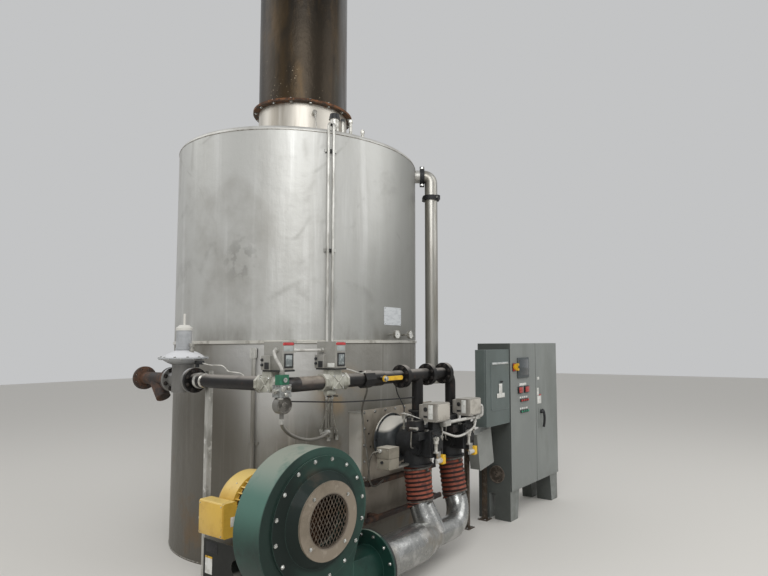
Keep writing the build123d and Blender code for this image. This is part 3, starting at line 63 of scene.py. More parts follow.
def patternMask(tree, place, pattern, top=1.0):
    # a grey mask from 0 to top; the pattern is its kind, then its sizes, then where it starts and is full
    kind, *sizes, low, high = pattern
    if kind in ("grain", "scuff", "cells"):
        scale, stretch = sizes
        spot = addNode(tree, "ShaderNodeMapping", {"Scale": stretch}, {"Vector": place}).outputs[0]
        if kind == "cells":
            cells = addNode(tree, "ShaderNodeTexVoronoi", {"Scale": scale}, {"Vector": spot})
            value = cells.outputs["Distance"]
        else:
            look = {"Scale": scale, "Detail": 6.0, "Roughness": 0.6}
            if kind == "scuff":
                look = {"Scale": scale, "Detail": 1.5, "Roughness": 0.4, "Distortion": 0.9}
            value = addNode(tree, "ShaderNodeTexNoise", look, {"Vector": spot}).outputs[0]
        if kind == "scuff":
            value = addNode(tree, "ShaderNodeMath", {"operation": "SUBTRACT", 1: 0.5}, {0: value}).outputs[0]
            value = addNode(tree, "ShaderNodeMath", {"operation": "ABSOLUTE"}, {0: value}).outputs[0]
    elif kind == "along":
        value = addNode(tree, "ShaderNodeSeparateXYZ", {}, {0: place}).outputs["XYZ".index(sizes[0])]
    elif kind == "inside":
        middle = (low + high) / 2
        value = addNode(tree, "ShaderNodeSeparateXYZ", {}, {0: place}).outputs["XYZ".index(sizes[0])]
        value = addNode(tree, "ShaderNodeMath", {"operation": "SUBTRACT", 1: middle}, {0: value}).outputs[0]
        value = addNode(tree, "ShaderNodeMath", {"operation": "ABSOLUTE"}, {0: value}).outputs[0]
        low, high = (high - low) / 2 + sizes[1] / 2, (high - low) / 2 - sizes[1] / 2
    elif kind == "around":
        # distance from a line through a centre; the flat axis of the scale is the line's own
        centre, flat = sizes
        shift = tuple(-c for c in centre)
        spot = addNode(tree, "ShaderNodeVectorMath", {"operation": "ADD", 1: shift}, {0: place}).outputs[0]
        spot = addNode(tree, "ShaderNodeVectorMath", {"operation": "MULTIPLY", 1: flat}, {0: spot}).outputs[0]
        value = addNode(tree, "ShaderNodeVectorMath", {"operation": "LENGTH"}, {0: spot}).outputs["Value"]
    elif kind == "slope":
        normal = addNode(tree, "ShaderNodeNewGeometry").outputs["Normal"]
        value = addNode(tree, "ShaderNodeSeparateXYZ", {}, {0: normal}).outputs["XYZ".index(sizes[0])]
    elif kind == "edge":
        # a rounded normal leaves the true one only near an edge
        bevel = addNode(tree, "ShaderNodeBevel", {"samples": 4, "Radius": sizes[0]}).outputs[0]
        normal = addNode(tree, "ShaderNodeNewGeometry").outputs["Normal"]
        links = {0: bevel, 1: normal}
        value = addNode(tree, "ShaderNodeVectorMath", {"operation": "DOT_PRODUCT"}, links).outputs["Value"]
    reach = {"interpolation_type": "SMOOTHSTEP", "From Min": low, "From Max": high, "To Max": top}
    return addNode(tree, "ShaderNodeMapRange", reach, {"Value": value}).outputs["Result"]


def makeFinish(name, s):
    # base coat first, then each layer over it where its masks meet
    material = bpy.data.materials.new(name)
    material.use_nodes = True
    tree = material.node_tree
    shader = tree.nodes["Principled BSDF"]
    for label, value in s["sockets"].items():
        shader.inputs[label].default_value = value
    place = addNode(tree, "ShaderNodeTexCoord").outputs["Object"]
    base = {
        "Base Color": hexColour(s["colour"]),
        "Roughness": s["rough"],
        "Metallic": s["metal"],
    }
    keys = {"Base Color": "colour", "Roughness": "rough", "Metallic": "metal"}
    chain = {}
    for label, value in base.items():
        shader.inputs[label].default_value = value
    for layer in s["layers"]:
        mask = None
        for pattern in layer["masks"]:
            step = patternMask(tree, place, pattern, layer["amount"] if mask is None else 1.0)
            if mask is not None:
                links = {0: mask, 1: step}
                step = addNode(tree, "ShaderNodeMath", {"operation": "MULTIPLY"}, links).outputs[0]
            mask = step
        for label, key in keys.items():
            if key not in layer:
                continue
            coloured = key == "colour"
            low, high, out = (6, 7, 2) if coloured else (2, 3, 0)
            value = hexColour(layer[key]) if coloured else layer[key]
            settings = {"data_type": "RGBA" if coloured else "FLOAT", low: base[label], high: value}
            links = {0: mask}
            if label in chain:
                links[low] = chain[label]
            chain[label] = addNode(tree, "ShaderNodeMix", settings, links).outputs[out]
    for label, source in chain.items():
        tree.links.new(source, shader.inputs[label])
    normal = None
    for pattern, depth in s["bumps"]:
        links = {"Height": patternMask(tree, place, pattern)}
        if normal:
            links["Normal"] = normal
        normal = addNode(tree, "ShaderNodeBump", {"Distance": depth, "Strength": 1.0}, links).outputs[0]
    if normal:
        tree.links.new(normal, shader.inputs["Normal"])
    return material


evenly = (1, 1, 1)
aroundZ = (1, 1, 0)
aroundY = (1, 0, 1)


def grain(scale, low, high, stretch=evenly):
    return ("grain", scale, stretch, low, high)


def edge(radius):
    return ("edge", radius, 0.97, 0.85)


def coat(colour, amount, *masks, **others):
    # a layer over the base: its colour, how much of it shows and where; others are rough and metal
    return {"colour": colour, "amount": amount, "masks": masks, **others}


def paint(colour, rough, *layers, metal=0.0, bumps=(), sockets=None):
    looks = {"colour": colour, "rough": rough, "metal": metal}
    return {**looks, "layers": layers, "bumps": bumps, "sockets": sockets or {}}


# Each finish: real material, how its surface was made, and what that gives the eye
finishSet = {
    # 304 stainless sheet, mill finish, rolled: long soft reflections, tall rinse streaks, curved scuffs; pale
    #                                           streaks painted in as highlights, painted shade towards +X
    "rolledStainless": paint(
        "#BFBFBB", 0.49,
        coat("#AEADA8", 0.55, grain(3.2, 0.42, 0.66, (1, 1, 0.16))),
        # painted highlight: pale, smoother vertical streaks stand in for reflections
        coat("#D0D0CD", 0.6, grain(9, 0.52, 0.72, (1, 1, 0.05)), rough=0.42),
        coat("#98958E", 0.5, grain(1.3, 0.52, 0.74)),
        coat("#84827C", 0.28, ("scuff", 0.8, (1, 1, 1.2), 0.018, 0.0), grain(4, 0.46, 0.62), rough=0.52),
        coat("#8F8D87", 0.35, ("scuff", 1.3, (1, 1, 0.6), 0.045, 0.0), grain(2.3, 0.5, 0.64)),
        coat("#6E6C67", 0.35, ("around", (-1.12, -0.48, 2.62), (1, 1, 0.8), 0.24, 0.04),
             grain(11, 0.47, 0.58), rough=0.55),
        # painted shade: darker round the front at +X and across the +X side, where less light falls
        coat("#7E7F7A", 0.65, ("around", (0.15, -1.2, 2.1), (1, 1, 0.8), 1.0, 0.2)),
        coat("#8E8E89", 0.8, ("along", "X", -0.35, 0.45)),
        coat("#77736A", 0.55, ("along", "Z", 2.15, 1.88), grain(2.7, 0.42, 0.6, (1, 1, 0.35)), rough=0.55),
        metal=0.6, bumps=[(grain(1.3, 0.3, 0.7), 0.004), (grain(60, 0.2, 0.8, (1, 1, 0.08)), 0.00025)],
    ),
    # the same sheet low down, stained by splash and heat: browner, duller, dark tall runs; painted light in
    # soft patches and on the burner box's left face, painted shade low on the -X side
    "stainedStainless": paint(
        "#93918A", 0.44,
        coat("#7A766C", 0.85, grain(3.4, 0.4, 0.64, (1, 1, 0.12))),
        coat("#6A645A", 0.8, grain(1.3, 0.48, 0.68, (1, 1, 0.5))),
        coat("#B4B0A8", 0.6, grain(12, 0.55, 0.72, (1, 1, 0.04)), rough=0.34),
        # painted light: two soft pale patches where the light falls fullest
        coat("#CDCCC9", 0.85, ("around", (-1.0, -0.75, 1.7), (1, 1, 0.9), 0.75, 0.2)),
        coat("#A3A19B", 0.6, ("around", (0.0, -1.2, 1.75), (1, 1, 1.6), 0.9, 0.3)),
        # painted shade: darker low down on the -X side
        coat("#5F5B53", 0.75, ("along", "X", -1.02, -1.16), ("along", "Z", 1.75, 1.35)),
        coat("#625E56", 0.75, ("along", "Z", 1.0, 0.2)),
        # painted light: the burner box's left face made pale
        coat("#D8D5CD", 0.9, ("slope", "X", -0.9, -0.99), ("along", "Y", -1.05, -1.09)),
        coat("#A08A6A", 0.7, ("around", (-0.52, -1.1, 1.45), evenly, 0.32, 0.06), grain(3, 0.4, 0.55),
             rough=0.5),
        coat("#7A6347", 0.55, grain(2.2, 0.56, 0.7), ("along", "Z", 1.5, 1.0), rough=0.55),
        coat("#4A443B", 0.28, ("scuff", 1.2, (1, 1, 0.3), 0.02, 0.0), grain(2.4, 0.5, 0.6), rough=0.55),
        metal=0.6, bumps=[(grain(1.7, 0.3, 0.7), 0.006), (grain(60, 0.2, 0.8, (1, 1, 0.08)), 0.00025)],
    ),
    # spun stainless head, brighter, with rings of turning marks
    "spunStainless": paint(
        "#C4C3BE", 0.44,
        coat("#A5A29B", 0.7, grain(4, 0.45, 0.66)),
        coat("#9A968D", 0.6, ("slope", "Z", 0.9, 1.0), grain(3, 0.4, 0.6), rough=0.5),
        metal=0.6, bumps=[(grain(90, 0.2, 0.8), 0.0002)],
    ),
    # rolled stack sheet, heat tinted bronze, with condensate runs and dried spots above the joint; a painted
    # highlight down its +X side
    "heatTintedSheet": paint(
        "#332C23", 0.36,
        coat("#221E19", 0.9, ("along", "Z", 4.9, 5.5)),
        coat("#45423B", 0.85, grain(1.6, 0.46, 0.58, (1, 1, 0.1))),
        coat("#4A3B27", 0.7, grain(2.6, 0.5, 0.64, (1, 1, 0.25))),
        coat("#1E1A16", 0.6, grain(7, 0.55, 0.68, (1, 1, 0.06))),
        # painted highlight: a paler streaky band down the +X side
        coat("#8E8D8B", 0.75, ("along", "X", 0.02, 0.22), grain(2, 0.36, 0.52, (1, 1, 0.1))),
        coat("#454442", 0.75, ("along", "Y", 0.1, 0.35)),
        coat("#B8A88E", 0.75, ("cells", 34, (1, 1, 0.8), 0.22, 0.1), ("along", "Z", 5.05, 4.4),
             grain(2.1, 0.5, 0.6), rough=0.5),
        coat("#4A3222", 1, ("along", "Z", 4.356, 4.35), rough=0.7, metal=0.3),
        coat("#8A5A35", 0.7, ("along", "Z", 4.38, 4.35), grain(14, 0.45, 0.6), rough=0.8, metal=0.1),
        metal=0.8, bumps=[(grain(3, 0.3, 0.7), 0.003)],
    ),
    # stainless stub under the ring joint: bright, brushed up and down, pale streaks painted in as highlights;
    # the ring itself is rusty angle iron
    "brightStub": paint(
        "#C6C1B7", 0.42,
        coat("#9A9285", 0.8, grain(2.4, 0.45, 0.6, (1, 1, 0.1))),
        # painted highlight: pale vertical streaks
        coat("#DDD9D1", 0.5, grain(6, 0.55, 0.7, (1, 1, 0.05))),
        coat("#3E2E23", 1, ("along", "Z", 4.324, 4.329), rough=0.7, metal=0.3),
        coat("#7A5233", 0.7, ("along", "Z", 4.3, 4.328), grain(14, 0.45, 0.6), rough=0.8, metal=0.1),
        metal=0.6,
    ),
    # ground stainless band: a bright line with dirt along it, painted shade on its underside
    "groundBand": paint(
        "#DAD7CE", 0.28,
        coat("#8B8579", 0.7, grain(6, 0.5, 0.65)),
        # painted shade: darker on faces turned down
        coat("#6F695E", 0.8, ("slope", "Z", -0.2, -0.8)),
        metal=0.7,
    ),
    # stainless plate at the burners: heat, soot and rust runs from its top edge
    "sootedPlate": paint(
        "#B7AEA0", 0.5,
        coat("#8E8577", 0.8, grain(5, 0.44, 0.64, (1, 1, 0.4))),
        coat("#C9C2B6", 0.7, grain(6, 0.54, 0.68, (1, 1, 0.1))),
        coat("#8A6B49", 0.45, ("along", "Z", 1.2, 1.3), grain(7, 0.5, 0.62, (1, 1, 0.3)), rough=0.7,
             metal=0.1),
        coat("#4A443B", 0.8, ("along", "Z", 0.8, 0.35)),
        metal=0.3, bumps=[(grain(5, 0.3, 0.7), 0.002)],
    ),
    # dark painted steel drum, dusty where it faces up
    "dustyDrum": paint(
        "#3A3E40", 0.42,
        coat("#2A2D2E", 0.8, grain(7, 0.45, 0.65)),
        coat("#E2DED4", 0.95, ("slope", "Z", 0.34, 0.52), grain(7, 0.12, 0.3), rough=0.85),
        coat("#1F2122", 1, ("around", (0, 0, 0), (0, 1, 0), 1.392, 1.386), rough=0.5),
        coat("#7B7468", 1, ("around", (0, 0, 0), (0, 1, 0), 1.384, 1.38), rough=0.6, metal=0.5),
        bumps=[(grain(140, 0.3, 0.7), 0.0004)],
    ),
    # black sand-cast iron with a thin coat: near black, grainy, dust on ledges
    "blackCasting": paint(
        "#101112", 0.55,
        coat("#222427", 0.8, grain(12, 0.45, 0.65)),
        coat("#6E6A62", 0.6, ("slope", "Z", 0.5, 0.95), grain(9, 0.4, 0.65), rough=0.85),
        coat("#3D2C22", 0.35, grain(6, 0.6, 0.72), rough=0.8),
        bumps=[(grain(160, 0.3, 0.7), 0.0008)],
    ),
    # hot-dipped galvanized sheet, rolled: bright with broad spangle
    "galvanizedSheet": paint(
        "#A3A3A0", 0.27,
        coat("#8C8E8D", 0.5, ("cells", 40, evenly, 0.2, 0.55)),
        coat("#C4C4C2", 0.6, grain(7, 0.5, 0.62), rough=0.22),
        coat("#8A7F6F", 0.6, grain(2.2, 0.5, 0.66), ("along", "Z", 0.45, 0.3), rough=0.42),
        coat("#5F5548", 0.7, ("along", "Z", 0.13, 0.02), rough=0.6),
        coat("#2B2C2B", 1, ("along", "X", -0.952, -0.954), rough=0.5, metal=0.2),
        metal=0.85, bumps=[(grain(3, 0.3, 0.7), 0.003)],
    ),
    # steel pipe in satin black lacquer, rubbed brown and dusty on top
    "blackPipe": paint(
        "#131212", 0.46,
        coat("#1E1B1A", 0.7, grain(9, 0.42, 0.62)),
        coat("#9A948D", 0.85, ("slope", "Z", 0.4, 0.9), grain(6, 0.25, 0.5), rough=0.6),
        coat("#4A352A", 0.35, grain(14, 0.6, 0.7), rough=0.7),
        bumps=[(grain(120, 0.3, 0.7), 0.0004)], sockets={"Specular IOR Level": 0.3},
    ),
    # bare steel nipple gone brown above, lacquer left below
    "brownPipe": paint(
        "#1D1A19", 0.4,
        coat("#6C635A", 1, ("slope", "Z", -0.25, 0.25), ("along", "X", -1.535, -1.53), rough=0.5),
        coat("#A39A8C", 0.8, ("slope", "Z", 0.3, 0.9), ("along", "X", -1.535, -1.53), grain(8, 0.35, 0.6),
             rough=0.5),
        coat("#3A2E28", 0.7, grain(10, 0.5, 0.65)),
        bumps=[(grain(120, 0.3, 0.7), 0.0004)],
    ),
    # rusty steel with old paint: flaking brown, orange bloom
    "rustySteel": paint(
        "#3A2E28", 0.7,
        coat("#5E4231", 0.9, grain(9, 0.45, 0.6)),
        coat("#211D1C", 0.9, grain(5, 0.48, 0.6), rough=0.5),
        coat("#8A6A50", 0.45, ("cells", 60, evenly, 0.25, 0.1), ("slope", "Z", 0.2, 0.9)),
        bumps=[(grain(70, 0.3, 0.7), 0.001)],
    ),
    # pale grey painted iron casting, mottled: painted light on its top faces, painted shade on its
    # undersides, painted highlights along its edges
    "paleCasting": paint(
        "#A9A89D", 0.5,
        coat("#7C7A6E", 0.8, grain(14, 0.45, 0.65)),
        # painted light: paler on faces turned up
        coat("#D3D1C8", 0.7, ("slope", "Z", 0.3, 0.9)),
        # painted shade: darker on faces turned down
        coat("#55524A", 0.7, ("slope", "Z", -0.2, -0.9), rough=0.65),
        # painted highlight along the edges
        coat("#BBB9AF", 0.5, edge(0.004)),
        bumps=[(grain(150, 0.3, 0.7), 0.0007)],
    ),
    # die-cast actuator housing, sprayed warm grey, painted highlights along its edges; black foot plate
    "actuatorGrey": paint(
        "#93918B", 0.45,
        coat("#85847C", 0.7, grain(9, 0.45, 0.65)),
        # painted highlight along the edges
        coat("#B6B4AC", 0.8, edge(0.005)),
        coat("#6B675E", 0.6, ("along", "Z", 1.76, 1.69), rough=0.6),
        coat("#1C1C1C", 1, ("along", "Z", 1.7005, 1.6995), rough=0.5),
        bumps=[(grain(220, 0.3, 0.7), 0.0003)],
    ),
    # pressed-steel motor covers over the burners: sprayed grey, browned at the hot end; painted light on
    # their top faces, painted highlights along their edges
    "motorCoverGrey": paint(
        "#8D8982", 0.5,
        coat("#77726A", 0.7, grain(8, 0.42, 0.62)),
        # painted light: paler on faces turned up
        coat("#B4B0A6", 0.8, ("slope", "Z", 0.5, 0.95)),
        # painted highlight along the edges
        coat("#A9A79E", 0.8, edge(0.005)),
    ),
    # light grey aluminium regulator case, sprayed: painted light on faces turned up, painted shade below the
    # rim
    "regulatorGrey": paint(
        "#AEB0B2", 0.36,
        coat("#8D8F90", 0.7, grain(6, 0.45, 0.65)),
        # painted shade: darker below the rim, under its overhang
        coat("#5B5852", 0.85, ("along", "Z", 1.772, 1.7), rough=0.5),
        # painted light: paler on faces turned up
        coat("#D9D9DB", 0.8, ("slope", "Z", 0.35, 0.9)),
        coat("#CFCDC6", 1, ("along", "Z", 1.985, 1.992), rough=0.4),
        bumps=[(grain(200, 0.3, 0.7), 0.0003)],
    ),
    # moulded silicone hose on a cord: brick red, painted highlight on the upper side of each rib and painted
    # shade on its underside, dusty crowns
    "siliconeHose": paint(
        "#5E2719", 0.6,
        coat("#471A12", 0.8, grain(8, 0.42, 0.62)),
        # painted highlight: brighter brick red on faces turned up
        coat("#9C4E35", 0.85, ("slope", "Z", 0.15, 0.7), grain(20, 0.36, 0.56), rough=0.7),
        # painted shade: near black on faces turned down
        coat("#1E100D", 0.95, ("slope", "Z", 0.02, -0.25), rough=0.6),
        coat("#A08B7B", 0.6, ("slope", "Z", 0.35, 0.8), ("along", "Z", 0.62, 0.5), grain(14, 0.4, 0.6),
             rough=0.8),
        bumps=[(grain(180, 0.3, 0.7), 0.0005)],
    ),
    # oven enamel on steel plate: deep green, glossy, greyed by dust where it faces up; painted light on the
    # scroll's upper faces and on edges, painted shade in the inlet cone and over the cover's -X part
    "greenEnamel": paint(
        "#12322A", 0.42,
        coat("#1D463B", 0.55, grain(2.6, 0.45, 0.65)),
        coat("#0C241E", 0.7, grain(5, 0.5, 0.66)),
        # painted light: paler green on the scroll's upper faces
        coat("#54786C", 0.8, ("slope", "Z", -0.15, 0.4), ("along", "Y", -1.975, -1.97),
             ("along", "Z", 0.42, 0.58), rough=0.5),
        coat("#96998D", 0.85, ("slope", "Z", 0.45, 0.95), ("along", "Y", -1.975, -1.97),
             ("along", "Z", 0.42, 0.58), grain(6, 0.28, 0.5), rough=0.6),
        # painted shade: darker and duller in the recessed inlet cone
        coat("#0A1D18", 1, ("around", (-1.555, 0, 0.755), aroundY, 0.335, 0.3),
             ("along", "Y", -1.96, -1.975), rough=0.68),
        # painted shade: darker over the cover's -X part
        coat("#071712", 1, ("along", "X", -1.64, -1.84), ("along", "Y", -1.96, -1.975), rough=0.75),
        coat("#4A3C2F", 0.6, grain(3, 0.46, 0.6), ("around", (-1.7, 0, 0.96), aroundY, 0.2, 0.06),
             rough=0.6),
        coat("#211B16", 1, ("around", (-1.555, 0, 0.755), aroundY, 0.37, 0.35),
             ("inside", "Y", 0.006, -1.955, -1.742), rough=0.8),
        # painted highlight along the edges
        coat("#55776C", 0.5, edge(0.006)),
        bumps=[(grain(30, 0.3, 0.7), 0.0002)],
        sockets={"Coat Weight": 0.06, "Coat Roughness": 0.12, "Specular IOR Level": 0.35},
    ),
    # bare primed ring round the inlet: pinkish tan, oily finger marks
    "tanPrimer": paint(
        "#837869", 0.6,
        coat("#6E6455", 0.8, grain(8, 0.45, 0.65)),
        coat("#9C9284", 0.6, grain(16, 0.55, 0.68)),
        coat("#5F564C", 0.8, ("around", (-1.555, 0, 0.755), aroundY, 0.18, 0.165), rough=0.6),
        coat("#6E6459", 0.6, edge(0.008)),
    ),
    # expanded steel guard: dark zinc, rubbed bright on its strands
    "guardSteel": paint(
        "#564D44", 0.5,
        coat("#7A7064", 0.8, grain(26, 0.5, 0.62)),
        coat("#50402F", 0.8, grain(11, 0.5, 0.64), rough=0.8, metal=0.1),
        metal=0.5,
    ),
    # fan wheel in bare steel: a brown film of rust over worn plate
    "rustyWheel": paint(
        "#56402F", 0.7,
        coat("#7B5237", 0.8, grain(9, 0.42, 0.6)),
        coat("#2D241E", 0.8, grain(5, 0.5, 0.64)),
        metal=0.2, bumps=[(grain(90, 0.3, 0.7), 0.0005)],
    ),
    # motor enamel: warm yellow, slightly orange peel, soil spots; painted light on its top faces, painted
    # shade on its undersides and between its fins
    "motorYellow": paint(
        "#D3AC48", 0.38,
        coat("#B98F33", 0.6, grain(6, 0.45, 0.66)),
        # painted light: paler on faces turned up
        coat("#E4C777", 0.8, ("slope", "Z", 0.25, 0.9)),
        # painted shade: darker on faces turned down
        coat("#8A6A2A", 0.7, ("slope", "Z", -0.1, -0.8), rough=0.55),
        coat("#6B4F22", 0.6, grain(15, 0.6, 0.7), rough=0.6),
        # painted shade: dark between the fins, at the frame's core radius
        coat("#2C2418", 1, ("around", (-1.555, 0, 0.755), aroundY, 0.204, 0.196),
             ("inside", "Y", 0.004, -1.695, -1.365), rough=0.7),
        bumps=[(grain(120, 0.3, 0.7), 0.0004)], sockets={"Coat Weight": 0.2, "Coat Roughness": 0.25},
    ),
    # dark grey machinery enamel on the pedestal, chipped at its edges, painted light on its top faces
    "pedestalGrey": paint(
        "#20221F", 0.5,
        coat("#181916", 0.8, grain(6, 0.45, 0.65)),
        coat("#7A776F", 0.7, edge(0.006), grain(16, 0.4, 0.6), rough=0.6),
        coat("#6E675A", 0.7, ("along", "Z", 0.12, 0.0), rough=0.8),
        # painted light: paler on faces turned up
        coat("#7C7B74", 0.8, ("slope", "Z", 0.6, 0.95), rough=0.7),
        sockets={"Specular IOR Level": 0.3},
    ),
    # zinc plated strut and conduit: pale, cloudy, dull white where it aged
    "zincPlate": paint(
        "#B9B8B2", 0.38,
        coat("#8D8B84", 0.8, grain(10, 0.45, 0.62, (1, 1, 0.3))),
        coat("#DAD9D4", 0.7, grain(18, 0.52, 0.66), rough=0.5, metal=0.3),
        metal=0.6,
    ),
    # the same conduit down the shell, with its black pipe clamps
    "wallConduitZinc": paint(
        "#D6D5CF", 0.36,
        coat("#98968E", 0.7, grain(9, 0.45, 0.62, (1, 1, 0.3))),
        coat("#1D1C1B", 1, ("around", (0, 0, 0), aroundZ, 1.2381, 1.2377), ("along", "Z", 1.3, 1.31),
             rough=0.5, metal=0.0),
        coat("#6E6A61", 0.85, ("along", "Z", 1.75, 1.35), metal=0.4),
        metal=0.5,
    ),
    # powder coated cabinet: neutral grey with a fine orange peel, rubbed dull round the handles; painted
    # shade on its -X side and a dark painted line of shade at the doors' gap
    "cabinetPowder": paint(
        "#7F8380", 0.46,
        coat("#8C908C", 0.5, grain(2.2, 0.42, 0.64, (1, 1, 0.5))),
        coat("#717570", 0.6, grain(3.1, 0.5, 0.68, (1, 1, 0.3))),
        coat("#A9ABA6", 0.5, edge(0.005), rough=0.6),
        coat("#5F5F59", 0.6, ("along", "Z", 0.5, 0.05), grain(5, 0.35, 0.6), rough=0.7),
        # painted shade: darker on the side facing -X
        coat("#3C403D", 0.8, ("slope", "X", -0.7, -0.95)),
        # painted shade: a dark strip on the door's meeting edge stands for the shaded gap between the doors
        coat("#1C1D1C", 1, ("inside", "X", 0.002, 1.887, 1.903), ("inside", "Y", 0.001, -1.7975, -1.79),
             ("slope", "Y", -0.5, -0.9), rough=0.8),
        bumps=[(grain(260, 0.3, 0.7), 0.0002)],
    ),
    # the side box in a slightly bluer powder coat, painted highlights along its edges
    "boxPowder": paint(
        "#59625F", 0.46,
        coat("#66706E", 0.5, grain(2.6, 0.42, 0.64, (1, 1, 0.5))),
        coat("#4C5453", 0.6, grain(3.7, 0.5, 0.68, (1, 1, 0.4))),
        # painted highlight along the edges
        coat("#9BA3A4", 0.6, edge(0.006), rough=0.55),
        bumps=[(grain(260, 0.3, 0.7), 0.0002)],
    ),
    # moulded glass-filled nylon handle: black, faint sheen, pale where hands rub it
    "blackNylon": paint(
        "#17181A", 0.38,
        coat("#2C2E31", 0.8, grain(30, 0.45, 0.62), rough=0.5),
        coat("#4A4C4E", 0.6, edge(0.004)),
    ),
    # moulded red thermoplastic grip
    "redGrip": paint(
        "#A3241C", 0.38,
        coat("#7D1813", 0.7, grain(22, 0.45, 0.62)),
        coat("#5C120F", 0.8, edge(0.005)),
    ),
    # vinyl dipped lever: yellow, with scratched patches
    "yellowVinyl": paint(
        "#DCAE26", 0.42,
        coat("#B98D1E", 0.7, grain(18, 0.48, 0.64)),
        coat("#4A3E25", 0.7, grain(34, 0.62, 0.7), rough=0.6),
    ),
    # painted steel igniter box: putty grey, painted light on its top faces, its rail bare zinc
    "puttyPaint": paint(
        "#857F72", 0.5,
        coat("#6B6559", 0.8, grain(9, 0.45, 0.64)),
        # painted light: paler on faces turned up
        coat("#B9B3A6", 0.85, ("slope", "Z", 0.5, 0.95)),
        coat("#8A8982", 1, ("along", "X", -0.508, -0.507), rough=0.4, metal=0.6),
        coat("#5A5245", 0.7, edge(0.005)),
    ),
    # blank plate: anodised aluminium, pale and slightly streaky
    "palePlate": paint(
        "#C9CCCE", 0.4,
        coat("#B1B5B8", 0.7, grain(14, 0.45, 0.62, (1, 1, 3))),
        coat("#E3E5E6", 0.6, grain(6, 0.55, 0.68)),
    ),
    # machined and plated fittings: bright, with oily brown shadows and painted glints along their edges
    "brightFitting": paint(
        "#B5B3AC", 0.28,
        coat("#7C786F", 0.8, grain(24, 0.45, 0.6)),
        # painted glint along the edges
        coat("#E2E0DA", 0.6, edge(0.004)),
        metal=0.8,
    ),
    # the float vent and stubs on the head: cap in black nylon, bodies cast pale
    "ventFittings": paint(
        "#C9C7C0", 0.36,
        coat("#8F8D85", 0.8, grain(20, 0.45, 0.6)),
        coat("#141517", 1, ("along", "Z", 3.921, 3.923), ("along", "X", -0.44, -0.445), rough=0.45,
             metal=0.0),
        metal=0.5,
    ),
    # pilot valve and switch: bright zinc casting, green coil on top, grey switch below
    "pilotValve": paint(
        "#A9ABA9", 0.26,
        coat("#6E6E6B", 0.8, grain(34, 0.45, 0.6)),
        coat("#1F5F45", 1, ("along", "Z", 1.6095, 1.6105), ("along", "Y", -1.7225, -1.7232), rough=0.45,
             metal=0.0),
        coat("#2E7A5A", 0.6, ("along", "Z", 1.6095, 1.6105), ("along", "Y", -1.7225, -1.7232),
             grain(30, 0.5, 0.62), metal=0.0),
        coat("#73716C", 1, ("along", "Z", 1.5295, 1.5285), rough=0.45, metal=0.3),
        metal=0.8,
    ),
    # flame scanners: plated tube, dark bracket, yellow moulded cap
    "scannerParts": paint(
        "#C9C8C3", 0.34,
        coat("#1E1F20", 1, ("along", "Y", -1.932, -1.93), rough=0.5, metal=0.1),
        coat("#E2B322", 1, ("inside", "X", 0.001, -0.1645, -0.1235), ("along", "Y", -1.906, -1.908),
             rough=0.45, metal=0.0),
        coat("#E2B322", 1, ("inside", "X", 0.001, 0.3405, 0.3815), ("along", "Y", -1.906, -1.908),
             rough=0.45, metal=0.0),
        coat("#8C6A14", 0.6, grain(26, 0.55, 0.66)),
        metal=0.35,
    ),
    # riser pipe in bright stainless, brushed along its length
    "riserStainless": paint(
        "#A3A19A", 0.36,
        coat("#8E897E", 0.8, grain(7, 0.45, 0.62, (1, 1, 0.12))),
        coat("#C4C2BC", 0.6, grain(12, 0.54, 0.68, (1, 1, 0.06))),
        metal=0.75,
    ),
    # bolts, bright zinc: small hard glints
    "boltZinc": paint("#C8C9C6", 0.25, coat("#94948F", 0.8, grain(60, 0.45, 0.6)), metal=0.9),
    # bolts left black and rusting
    "boltBlack": paint(
        "#2B2826", 0.5,
        coat("#3F342D", 0.7, grain(50, 0.5, 0.62), rough=0.8, metal=0.0),
        metal=0.4,
    ),
    # moulded black bezel and dark bare screen glass
    "screenGlass": paint(
        "#2B3032", 0.1,
        coat("#3C4447", 0.7, grain(3, 0.4, 0.6)),
        sockets={"Coat Weight": 0.6, "Coat Roughness": 0.04},
    ),
    # lamp and button lenses in clear red polycarbonate
    "redLens": paint(
        "#B0322A", 0.22,
        coat("#7E1C18", 0.7, grain(40, 0.4, 0.6)),
        sockets={"Coat Weight": 0.5, "Coat Roughness": 0.1},
    ),
    # the same in green
    "greenLens": paint(
        "#1F8A66", 0.22,
        coat("#136048", 0.7, grain(40, 0.4, 0.6)),
        sockets={"Coat Weight": 0.5, "Coat Roughness": 0.1},
    ),
    # plain white card or vinyl, bare: the place of a plate or tag
    "bareVinyl": paint("#DDDDD8", 0.45, coat("#C2C1BA", 0.8, grain(24, 0.45, 0.62))),
    # the same card printed in a grey tint, bare
    "greyVinyl": paint("#A3A8A6", 0.45, coat("#8E9391", 0.8, grain(40, 0.45, 0.62))),
    # red painted strip on the actuators
    "redStrip": paint("#B93A3C", 0.42, coat("#9A2A2D", 0.7, grain(30, 0.45, 0.62))),
    # weld beads, brushed after welding: ripples with a heat tint
    "weldBead": paint("#A9A69E", 0.34, coat("#6F675A", 0.8, grain(26, 0.45, 0.6)), metal=0.8),
    # dark rubber and moulded plastic
    "darkRubber": paint("#1A1A1B", 0.6, coat("#323233", 0.8, grain(40, 0.45, 0.62), rough=0.75)),
    # clear acrylic window over a grey inside
    "windowPane": paint(
        "#6F7676", 0.12,
        coat("#A7ADAC", 0.8, grain(26, 0.45, 0.6)),
        sockets={"Coat Weight": 0.5, "Coat Roughness": 0.05},
    ),
    # moulded grey bezel round the screen, painted highlights along its edges
    "bezelGrey": paint(
        "#474E50", 0.4,
        # painted highlight along the edges
        coat("#5A6163", 0.7, edge(0.004)),
        coat("#3A4042", 0.6, grain(30, 0.45, 0.62)),
    ),
    # aluminium impulse tube, drawn and hand-bent: pale, a little dull
